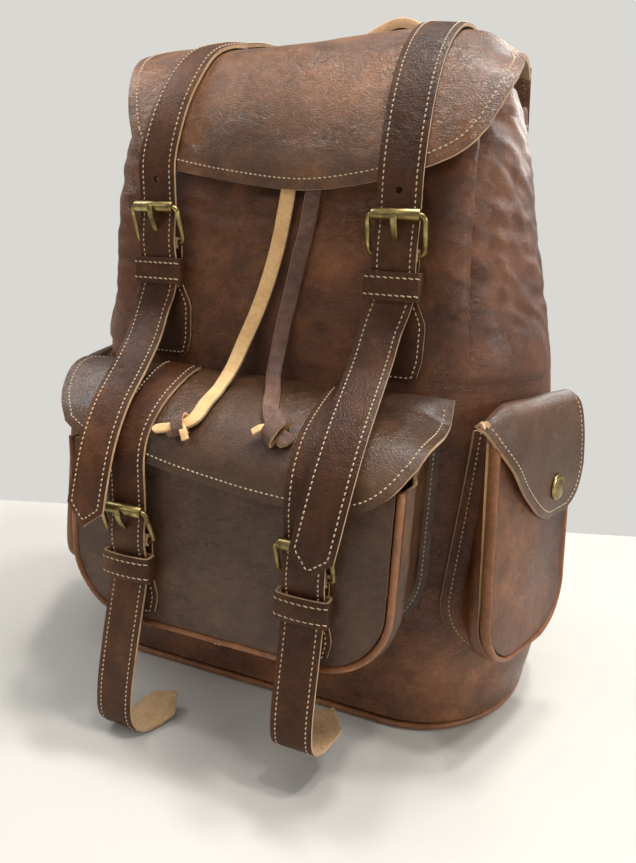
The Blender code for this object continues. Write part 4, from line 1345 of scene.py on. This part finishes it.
# ------------------------------------------------------------------ pockets and flaps in place
SIDE_FACE_X = 0.1786
SIDE_FACE_Y = -0.0462
SIDE_TURN = math.radians(22.0)
SIDE_HALF = 0.0520
SIDE_FOOT = 0.78
SIDE_LOW_Z = 0.068
SIDE_LEAN = 0.080
SIDE_FLAP_TOP = 0.2330
SIDE_FLAP_TIP = 0.1560
SIDE_FLAP_SIDES = [(0.0, -0.0590, 0.0560), (0.010, -0.0600, 0.0575), (0.030, -0.0535, 0.0590),
                   (0.060, -0.0500, 0.0590), (0.095, -0.0500, 0.0590)]
SIDE_FLAP_FRONT = [(-1.0, 0.0270, 0), (-0.93, 0.0360, 0), (-0.77, 0.0475, 0),
                   (-0.58, 0.0600, 0), (-0.36, 0.0710, 0), (-0.10, 0.0810, 0),
                   (0.20, 0.0865, 0), (0.50, 0.0865, 0), (0.76, 0.0805, 0),
                   (0.92, 0.0705, 0), (1.0, 0.0560, 0)]
SNAP_T = 0.0180
SNAP_Z = 0.1765


def front_bulge(t, z, p):
    clear = bell(abs(t) - POCKET_STRAP_X, 0.024) * ease(0.075, 0.085, z)
    push = 0.0034 * bell(t, 0.034) * math.sin(math.pi * min(1.0, max(0.0, (z - 0.079) / 0.125)))
    push += 0.0006 * rough(p, 38, 4.0) + 0.0007 * rough((p[0] * 3, 0, p[2] * 0.6), 18, 2.0)
    return push * (1 - min(1.0, clear * 1.3)) - 0.0001


def side_bulge(t, z, p):
    share = min(1.0, max(0.0, (z - 0.071) / 0.140))
    push = 0.0028 * math.cos(math.pi * 0.5 * min(1.0, abs(t) / 0.045)) * math.sin(math.pi * share)
    return push + 0.0008 * rough(p, 36, 7.0)


def front_pocket():
    pocket("pocket", "", FRONT, 0.108, 0.076, 0.194, 0.044, 1.0, front_bulge, POCKET_HIDE,
           rise=0.018)
    POCKET_FLAP.build("pocket_flap_hide", 46, 96, [POCKET_HIDE, FLESH, EDGE], ["pocket_flap"],
                      "front_pocket_flap")
    stitches("pocket_flap_rim", "front_pocket_flap", POCKET_FLAP.rim(0.0052))
    tack = [(Vector((-0.004 + 0.0028 * k, POCKET_FACE_Y + 0.001 - 0.0004, 0.0755 - 0.0024)),
             Vector((0, -0.5, -1)).normalized()) for k in range(3)]
    stitches("pocket_bar_tack", "sack", tack, radius=0.0007, pitch=0.002, long=0.0030, lean=1.2)


def stud(name, foot, out, start, radius, height):
    """A press stud's cap: domed, with a rolled edge and a shallow ring."""
    profile = [(0.0, radius * 0.90), (0.10, radius * 0.99), (0.25, radius), (0.42, radius * 0.97),
               (0.60, radius * 0.86), (0.66, radius * 0.70), (0.62, radius * 0.60),
               (0.78, radius * 0.50), (0.93, radius * 0.28), (1.0, 0.0)]
    turn = Z_AXIS.rotation_difference(out)
    sides = 36
    verts = []
    for h, r in profile[:-1]:
        for s in range(sides):
            a = 2 * math.pi * s / sides
            verts.append(foot + turn @ Vector((r * math.cos(a), r * math.sin(a),
                                               start + h * height)))
    verts.append(foot + turn @ Vector((0, 0, start + height)))
    rings = len(profile) - 1
    last = (rings - 1) * sides
    faces = bands(rings, sides)
    faces += [(last + s, last + (s + 1) % sides, rings * sides) for s in range(sides)]
    faces.append(tuple(reversed(range(sides))))
    return body(name, verts, faces, [BRASS], sharp=60)


def side_pockets():
    for word, sign in WORDS:
        side = Side(SIDE_FACE_X, SIDE_FACE_Y, SIDE_TURN, sign, SIDE_LEAN, SIDE_LOW_Z)
        pocket("side_pocket", f"_{word}", side, SIDE_HALF, SIDE_LOW_Z, 0.214, 0.034, SIDE_FOOT,
               side_bulge, HIDE, 0.16, 0.002)
        root = side.sack(0.004, SIDE_FLAP_TOP) + 0.0030
        profile = [(root, SIDE_FLAP_TOP), (root * 0.3, SIDE_FLAP_TOP - 0.0005),
                   (0.0045, SIDE_FLAP_TOP - 0.008), (0.0075, SIDE_FLAP_TOP - 0.030),
                   (0.0075, SIDE_FLAP_TIP + 0.012), (0.0065, SIDE_FLAP_TIP)]
        flap = Flap(side, profile, SIDE_FLAP_SIDES, SIDE_FLAP_FRONT, side_flap_wave)
        flap.build(f"side_flap_{word}_hide", 40, 56, [POCKET_HIDE, FLESH, EDGE],
                   [f"side_pocket_flap_{word}"], f"side_flap_{word}")
        stitches(f"side_flap_rim_{word}", f"side_flap_{word}", flap.rim(0.0050, start=0.008))
        l = min((k * 0.0005 for k in range(60, 170)),
                key=lambda l: abs(flap.at(l, SNAP_T).z - SNAP_Z))
        away = flap.normal(l, SNAP_T)
        cap = stud(f"stud_cap_{word}", flap.at(l, SNAP_T), away, LEATHER / 2 + 0.0001,
                   0.0090, 0.0030)
        settle(cap, f"side_flap_{word}", [f"snap_cap_{word}"])
        foot = side.at(SNAP_T, SNAP_Z)
        away = (side.out + Z_AXIS * side.lean).normalized()
        post = stud(f"stud_socket_{word}", foot + side.out * side_bulge(SNAP_T, SNAP_Z, foot),
                    away, LEATHER + 0.0001, 0.0070, 0.0026)
        settle(post, "sack", [f"snap_socket_{word}"])


def top_flap():
    MAIN_FLAP.build("top_flap_hide", 84, 120, [FLAP_HIDE, FLESH, EDGE], ["main_flap"], "top_flap")
    stitches("top_flap_rim", "top_flap", MAIN_FLAP.rim(0.0062))
    line = []
    for k in range(161):
        x = -0.112 + 0.236 * k / 160
        out = MAIN_FLAP.normal(0.007, x)
        line.append((MAIN_FLAP.at(0.007, x) + out * LEATHER / 2, out))
    stitches("top_flap_seam", "top_flap", line)


# ------------------------------------------------------------------ base and back
def drawn_in(outline, depth):
    """A closed outline moved inward by depth."""
    drawn = []
    for k, point in enumerate(outline):
        before = (point - outline[k - 1]).normalized()
        after = (outline[(k + 1) % len(outline)] - point).normalized()
        ahead = (before + after).normalized()
        drawn.append(point + Vector((-ahead.y, ahead.x, 0)) * (depth / max(0.5, ahead.dot(after))))
    return drawn


def base():
    foot = [sack_point(-1 + 2 * k / 120, 0.0) for k in range(121)]
    inner = drawn_in(foot, PIPING_RADIUS * 2 + 0.0008)
    mesh = bpy.data.meshes.new("base_hide")
    bm = bmesh.new()
    centre = Vector((0, -0.005, 0))
    rings = []
    for share in (1.0, 0.97, 0.8, 0.6, 0.4, 0.2):
        rings.append([centre + (p - centre) * share for p in inner])
    low = [[bm.verts.new((p.x, p.y, 0.00002 + (0.0007 if i == 0 else 0.0))) for p in ring]
           for i, ring in enumerate(rings)]
    high = [[bm.verts.new((p.x, p.y, 0.0030)) for p in ring] for ring in rings]
    n = len(inner)
    for stack, flip in ((low, False), (high, True)):
        for a, b in zip(stack, stack[1:]):
            for k in range(n):
                m = (k + 1) % n
                quad = (a[k], b[k], b[m], a[m])
                bm.faces.new(tuple(reversed(quad)) if flip else quad)
        cap = stack[-1]
        bm.faces.new(cap if flip else list(reversed(cap)))
    for k in range(n):
        m = (k + 1) % n
        face = bm.faces.new((low[0][k], low[0][m], high[0][m], high[0][k]))
        face.material_index = 1
    bmesh.ops.recalc_face_normals(bm, faces=bm.faces)
    bm.to_mesh(mesh)
    bm.free()
    item = show("base_hide", mesh, [HIDE, EDGE])
    item.data.set_sharp_from_angle(angle=math.radians(50))
    settle(item, "sack", ["base_panel"])
    rim = [Vector((p.x, p.y, PIPING_RADIUS + 0.0006)) for p in drawn_in(foot, PIPING_RADIUS)]
    rope = wire("base_welt", rim, PIPING_RADIUS, [PIPING_HIDE])
    settle(rope, "sack", ["base_piping"])


def back():
    heights = [BODY_LOW_Z, 0.025, 0.05, 0.09, 0.13, 0.185, 0.242, 0.277, 0.312, 0.347, 0.375]
    edge = [(sack_point(1, z).x - 0.001, z) for z in heights] + [(0.1300, 0.410), (0.1265, 0.454)]

    def half_at(z):
        for (xa, za), (xb, zb) in zip(edge, edge[1:]):
            if z <= zb:
                return xa + (xb - xa) * max(0.0, (z - za) / (zb - za))
        return edge[-1][0]

    def face(u, v):
        z = BACK_TOP_Z + (BODY_LOW_Z - BACK_TOP_Z) * v
        x = half_at(z) * (1 - 2 * u)
        p = Vector((x, BACK_Y + GAP + LEATHER, z))
        calm = max(bell(z - 0.2, 0.02) * bell(x, 0.02), bell(z - 0.41, 0.03))
        wave = 0.0006 * rough(p, 22, 3.0) + 0.0004 * rough(p, 60, 5.0) - 0.0004
        return p + Vector((0, wave * (1 - calm), 0))

    item = panel("back_hide", face, 90, 110, LEATHER * 0.9, [HIDE, HIDE, EDGE])
    settle(item, "sack", ["back_panel"])
    for word, sign in WORDS:
        line = []
        for k in range(140):
            z = SEAM_LOW_Z + (SEAM_HIGH_Z - SEAM_LOW_Z) * k / 139
            line.append((Vector((sign * (half_at(z) - 0.0055), BACK_Y + GAP + LEATHER, z)),
                         Vector((0, 1, 0))))
        stitches(f"back_seam_{word}", "sack", line)
    # the panel's top edge is turned over and sewn, which shows on the inner side too
    for name, y, out in (("back_top_row_out", BACK_Y + GAP + LEATHER, 1),
                         ("back_top_row_in", BACK_Y + GAP + LEATHER * 0.1, -1)):
        stitches(name, "sack", [(Vector((-0.118 + 0.236 * k / 99, y, 0.4435)),
                                 Vector((0, out, 0))) for k in range(100)])
    low, high = 0.396, 0.422
    ground = BACK_Y + GAP + LEATHER + GAP

    def plate_face(u, v):
        x, z = 0.006 + 0.062 * (1 - 2 * u), high + (low - high) * v
        soft = 0.0006 * max((abs(2 * u - 1)) ** 8, (abs(2 * v - 1)) ** 6)
        return Vector((x, ground + 0.0035 - soft, z))

    item = panel("strap_anchor_hide", plate_face, 40, 14, 0.0034, [STRAP_HIDE, FLESH, EDGE])
    settle(item, "sack", ["strap_anchor"])
    box = [(-0.0525, 0.3990), (0.0645, 0.3990), (0.0645, 0.4190), (-0.0525, 0.4190),
           (-0.0525, 0.3990)]
    around = spread([Vector((x, ground + 0.0035, z)) for x, z in box], 160)
    stitches("strap_anchor_rows", "sack", [(p, Vector((0, 1, 0))) for p in around])


def carrying():
    y, low = BACK_Y + 0.0105, 0.4300
    arch = [(-0.036, y, low), (-0.030, y + 0.003, low + 0.022), (-0.010, y + 0.006, low + 0.045),
            (0.024, y + 0.008, low + 0.0605), (0.048, y + 0.006, low + 0.046),
            (0.054, y + 0.003, low + 0.022), (0.050, y, low)]
    centre = smooth(arch, 60)
    strip = carried_strip(centre, [Vector((0, 1, 0))] * 61, [Vector((-1, 0, 0.2))] * 61)

    def full(l):
        return 0.0044 + 0.0042 * math.sin(math.pi * min(1.0, l / strip.length)) ** 0.8

    grip = strap("carry_handle_hide", strip, 0.0104, full, crown=0.0014,
                 mats=[EDGE, STRAP_HIDE, EDGE])
    settle(grip, "handle", ["carry_handle"])
    for word, sign in WORDS:
        top = Vector((sign * 0.034, BACK_Y + 0.0150, 0.4100))
        foot = Vector((sign * 0.124, BACK_Y + 0.0150, 0.0400))
        run = [(top.x, top.y + 0.001, top.z), (top.x + sign * 0.004, top.y + 0.018, 0.380),
               (top.x + sign * 0.014, top.y + 0.034, 0.330),
               (top.x + sign * 0.030, top.y + 0.042, 0.260),
               (top.x + sign * 0.046, top.y + 0.038, 0.195)]
        centre = smooth(run, 16)
        fine = smooth(centre, 80)
        strip = carried_strip(fine, [X_AXIS] * 81, [Vector((0, 1, 0))] * 81)

        def wide(l, strip=strip):
            return 0.026 + 0.016 * math.sin(math.pi * min(1.0, l / strip.length * 16 / 12 + 0.05))

        item = strap(f"shoulder_strap_{word}_hide", strip, wide, 0.0060, crown=0.0012)
        settle(item, f"shoulder_{word}", [f"shoulder_strap_{word}"])
        strap_rows(f"shoulder_rows_{word}", f"shoulder_{word}", strip, wide, 0.0056, 0.004,
                   strip.length - 0.003, margin=0.0040)
        last = centre[-1]
        step = (centre[-1] - centre[-2]).normalized()
        eye = last + step * 0.0135
        level = (X_AXIS - step * step.x).normalized()
        loop = [eye + level * a - step * b for part in rounded(0.0130, 0.0105, 0.003, 5)
                for a, b in part]
        made = wire(f"adjust_loop_{word}", loop, 0.0015, [BRASS])
        settle(made, f"shoulder_{word}", [f"adjust_buckle_{word}"])
        begin = eye + step * 0.0140
        lower = smooth([begin, Vector((sign * 0.098, foot.y + 0.022, 0.130)),
                        Vector((sign * 0.110, foot.y + 0.010, 0.080)), foot], 50)
        strip = carried_strip(lower, [X_AXIS] * 51, [Vector((0, 1, 0))] * 51)
        item = strap(f"adjust_strap_{word}_hide", strip, 0.0200, STRAP)
        settle(item, f"shoulder_{word}", [f"adjust_strap_{word}"])
        strap_rows(f"adjust_rows_{word}", f"shoulder_{word}", strip, 0.0200, STRAP, 0.003,
                   strip.length - 0.002, margin=0.0030)


# ------------------------------------------------------------------ drawstring and its ends
LACE_ROUTES = {
    "left": [(0.0085, -0.0796, 0.3760), (0.0088, -0.0822, 0.3640), (0.0088, -0.0830, 0.3500),
             (0.0066, -0.0838, 0.3330), (0.0035, -0.0848, 0.3150), (-0.0020, -0.0858, 0.2940),
             (-0.0085, -0.0870, 0.2750), (-0.0150, -0.0900, 0.2575), (-0.0182, -0.0985, 0.2420)],
    "right": [(0.0262, -0.0796, 0.3760), (0.0260, -0.0822, 0.3640), (0.0250, -0.0830, 0.3500),
              (0.0222, -0.0838, 0.3280), (0.0182, -0.0848, 0.3090), (0.0140, -0.0858, 0.2860),
              (0.0104, -0.0872, 0.2670), (0.0094, -0.0905, 0.2530), (0.0110, -0.0990, 0.2415)],
}
LACE_REST = {"left": [(-0.0184, 0.032), (-0.0188, 0.047), (-0.0205, 0.0605), (-0.0300, 0.0660),
                      (-0.0440, 0.0700)],
             "right": [(0.0165, 0.0280), (0.0215, 0.0420), (0.0270, 0.0530), (0.0330, 0.0600),
                       (0.0425, 0.0660)]}
LACE_WIDE = 0.0092
LACE_THICK = 0.0024
LACE_LIFT = LEATHER / 2 + 0.0031


def lace_line(word):
    points = [Vector(p) for p in LACE_ROUTES[word]]
    for x, l in LACE_REST[word]:
        points.append(POCKET_FLAP.at(l, x) + POCKET_FLAP.normal(l, x) * LACE_LIFT)
    return points


def laces():
    for word in ("left", "right"):
        points = lace_line(word)
        centre = smooth(points, 120)
        outs = []
        for p in centre:
            l = max(0.0, (0.2360 - p.z)) * 1.9
            lay = min(1.0, max(0.0, (0.262 - p.z) / 0.030))
            outs.append((Vector((0.10 if word == "left" else 0.55, -1, 0)) * (1 - lay)
                         + POCKET_FLAP.normal(min(0.07, l), p.x) * lay).normalized())
        ways = [o.cross(Vector((0, 0, -1))) for o in outs]
        ways = [w if w.x > 0 else -w for w in ways]
        strip = Strip(centre, ways, outs)
        mats = [TAN, LACE_HIDE, EDGE] if word == "left" else [LACE_HIDE, TAN, EDGE]
        knot_at = strip.length - (0.0175 if word == "left" else 0.0130)

        def wide(l, knot_at=knot_at, word=word, strip=strip):
            pinch = 1 - 0.32 * bell(l - knot_at, 0.006)
            after = -0.38 if word == "left" else 0.12
            end = math.sqrt(min(1.0, 0.15 + (strip.length - l) / 0.0022))
            return LACE_WIDE * pinch * (1.0 + after * ease(knot_at, knot_at + 0.008, l)) * end

        item = strap(f"lace_{word}_strip", strip, wide, LACE_THICK, mats=mats, step=0.0016,
                     crown=0.0005)
        knot = lace_knot(word, strip, knot_at)
        tail = [strip.at(strip.length * k / 60, 0)[0] for k in range(61)]
        for made in (item, knot):
            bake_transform(made)
        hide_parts(f"lace_{word}")
        tuple(tail[0])
        [tuple(p) for p in tail]


def lace_knot(word, strip, at):
    """An overhand knot: a band that goes over and round the lace, with one turn tucked in."""
    point, out = strip.at(at, 0.0, 0.0003)
    ahead = (strip.at(at + 0.003, 0)[0] - strip.at(at - 0.003, 0)[0]).normalized()
    side = out.cross(ahead).normalized()
    wide, high, band_wide, slant = ((0.0062, 0.0034, 0.0080, 0.15) if word == "left"
                                    else (0.0080, 0.0046, 0.0098, -0.55))
    points, across = [], []
    count = 64
    for k in range(count + 1):
        a = 2 * math.pi * 1.22 * k / count - 0.6
        drift = (k / count - 0.5) * 0.0052
        c, s = math.cos(a), math.sin(a)
        points.append(point + side * wide * math.copysign(abs(c) ** 0.8, c)
                      + out * (high * math.copysign(abs(s) ** 0.8, s) + 0.0002)
                      + ahead * (drift + 0.0016 * s + slant * wide * c))
        across.append((ahead + side * 0.18 * s).normalized())
    hints = [(p - point) for p in points]
    band = Strip(points, across, hints)

    def broad(l):
        return band_wide * (0.80 + 0.2 * math.sin(math.pi * l / band.length))

    turn = strap(f"lace_knot_{word}", band, broad, 0.0018, mats=[LACE_HIDE, TAN, EDGE],
                 step=0.0008, crown=0.0005)
    # the lace's doubled part shows as a short nub on the other side of the band
    way = 1 if word == "left" else -1
    nub = [point + side * (0.002 * way) + out * 0.0010 - ahead * 0.0015,
           point + side * (0.007 * way) + out * 0.0022 - ahead * 0.0032,
           point + side * (0.0125 * way) + out * 0.0006 - ahead * 0.0040]
    line = smooth(nub, 12)
    tab = Strip(line, ahead, [out] * len(line))
    stub = strap(f"lace_nub_{word}", tab, lambda l: 0.0044, 0.0018, mats=[TAN, LACE_HIDE, EDGE],
                 step=0.0010)
    return joined(turn, stub)


def joined(first, second):
    """Both meshes as one object; they share their materials by name."""
    mats = list(first.data.materials)
    for mat in second.data.materials:
        if mat.name not in [m.name for m in mats]:
            mats.append(mat)
    kinds = [[next(k for k, m in enumerate(mats) if m.name == mat.name)
              for mat in item.data.materials] for item in (first, second)]
    verts, faces, slots = [], [], []
    for item, kind in zip((first, second), kinds):
        shift = len(verts)
        verts += [tuple(v.co) for v in item.data.vertices]
        for face in item.data.polygons:
            faces.append(tuple(shift + v for v in face.vertices))
            slots.append(kind[face.material_index])
    name = first.name
    bpy.data.objects.remove(second)
    bpy.data.objects.remove(first)
    return body(name, verts, faces, mats, slots, 48, fixed=False)


def drawstring():
    points = []
    count = 22
    for k in range(count * 8 + 1):
        share = k / (count * 8)
        u = -0.985 + 1.97 * share
        p = sack(u, MOUTH_LINE_Z)
        q = sack(min(1.0, u + 0.004), MOUTH_LINE_Z) - sack(max(-1.0, u - 0.004), MOUTH_LINE_Z)
        inward = Vector((-q.y, q.x, 0)).normalized()
        if inward.dot(Vector((0, 0.01, MOUTH_LINE_Z)) - p) < 0:
            inward = -inward
        weave = math.sin(2 * math.pi * count / 2 * share)
        points.append(p + inward * (0.0011 + 0.0034 * weave + 0.0012))
    points = relax(points, 2)
    strip = Strip(points, Z_AXIS, [p - Vector((0, 0.01, p.z)) for p in points])
    item = strap("drawstring_strip", strip, 0.0066, 0.0018, mats=[LACE_HIDE, TAN, EDGE], step=0.0022)
    settle(item, "sack", ["drawstring"])


# ------------------------------------------------------------------ floor and lights
def plain_surface(name, low, high, scale):
    n = Nodes(name)
    place = n.add("ShaderNodeTexCoord")
    tone = n.ramp(n.noise(place, scale, 3.0), "Fac", ((0.3, low), (0.7, high)))
    n.join(tone, "Color", n.shader, "Base Color")
    fine = n.noise(place, 150.0, 5.0, 0.75)
    bump = n.add("ShaderNodeBump", {"Strength": 0.35, "Distance": 0.0012})
    n.join(fine, "Fac", bump, "Height")
    n.join(bump, 0, n.shader, "Normal")
    n.shader.inputs["Roughness"].default_value = 0.60
    return n.made


def studio():
    floor_finish = plain_surface("pale_floor", (0.535, 0.521, 0.484), (0.575, 0.563, 0.528), 2.0)
    # the floor ends along the foot of the pale background, turned a little to the bag
    turn = math.radians(20.1)
    at = Vector((0.015, 0.288, 0))
    way = Vector((math.cos(turn), math.sin(turn), 0))
    mesh = bpy.data.meshes.new("floor")
    mesh.from_pydata([(-6, -6, 0), (6, -6, 0), tuple(at + way * 6), tuple(at - way * 6)],
                     [], [(0, 1, 2, 3)])
    show("floor", mesh, [floor_finish])
    world = bpy.data.worlds.new("studio")
    bpy.context.scene.world = world
    world.use_nodes = True
    # the background looks pale from every side, but lights the bag only softly
    nodes, links = world.node_tree.nodes, world.node_tree.links
    seen, path, mix = (nodes.new("ShaderNode" + kind)
                       for kind in ("Background", "LightPath", "MixShader"))
    nodes["Background"].inputs["Color"].default_value = (1.0, 0.98, 0.95, 1.0)
    nodes["Background"].inputs["Strength"].default_value = 0.30
    seen.inputs["Color"].default_value = (0.70, 0.685, 0.65, 1.0)
    links.new(path.outputs["Is Camera Ray"], mix.inputs[0])
    links.new(nodes["Background"].outputs[0], mix.inputs[1])
    links.new(seen.outputs[0], mix.inputs[2])
    links.new(mix.outputs[0], nodes["World Output"].inputs[0])
    plain = (1.0, 0.98, 0.95)
    for name, where, look, size, power, colour in (
            ("overhead", (0.10, -0.10, 1.70), (0.0, 0.0, 0.0), (1.3, 1.0), 8.5,
             (1.0, 0.97, 0.93)),
            ("lamp_a", (0.50, 0.20, 1.90), (0.0, 0.0, 0.2), (0.16, 0.16), 12.0, plain),
            ("lamp_b", (0.12, 0.12, 1.90), (0.0, 0.0, 0.2), (0.14, 0.14), 11.0, plain),
            ("lamp_c", (0.75, -0.08, 1.80), (0.0, 0.0, 0.2), (0.16, 0.16), 9.0, plain),
            ("lamp_d", (0.35, -0.30, 1.90), (0.0, 0.0, 0.2), (0.14, 0.14), 5.0, plain),
            ("left_sheen", (-0.95, 0.02, 1.10), (0.0, 0.0, 0.25), (0.4, 0.4), 4.5,
             (0.97, 0.98, 1.0)),
            ("key", (1.35, -0.20, 0.52), (0.05, 0.0, 0.32), (0.40, 0.40), 6.0,
             (1.0, 0.96, 0.92)),
            ("back", (0.50, 1.60, 1.10), (0.0, 0.1, 0.25), (0.9, 0.7), 9.0, plain),
            ("front", (-0.60, -1.60, 1.30), (0.0, 0.0, 0.2), (1.2, 0.8), 5.5, plain)):
        data = bpy.data.lights.new(name, "AREA")
        data.shape = "RECTANGLE"
        data.size, data.size_y = size
        data.energy = power
        data.color = colour
        lamp = bpy.data.objects.new(name, data)
        lamp.location = where
        lamp.rotation_mode = "QUATERNION"
        lamp.rotation_quaternion = (Vector(look) - Vector(where)).to_track_quat("-Z", "Y")
        bpy.context.scene.collection.objects.link(lamp)


laces()
drawstring()
hide_body()
base()
back()
front_pocket()
side_pockets()
top_flap()
flap_straps()
pocket_straps()
fastenings()
carrying()
studio()
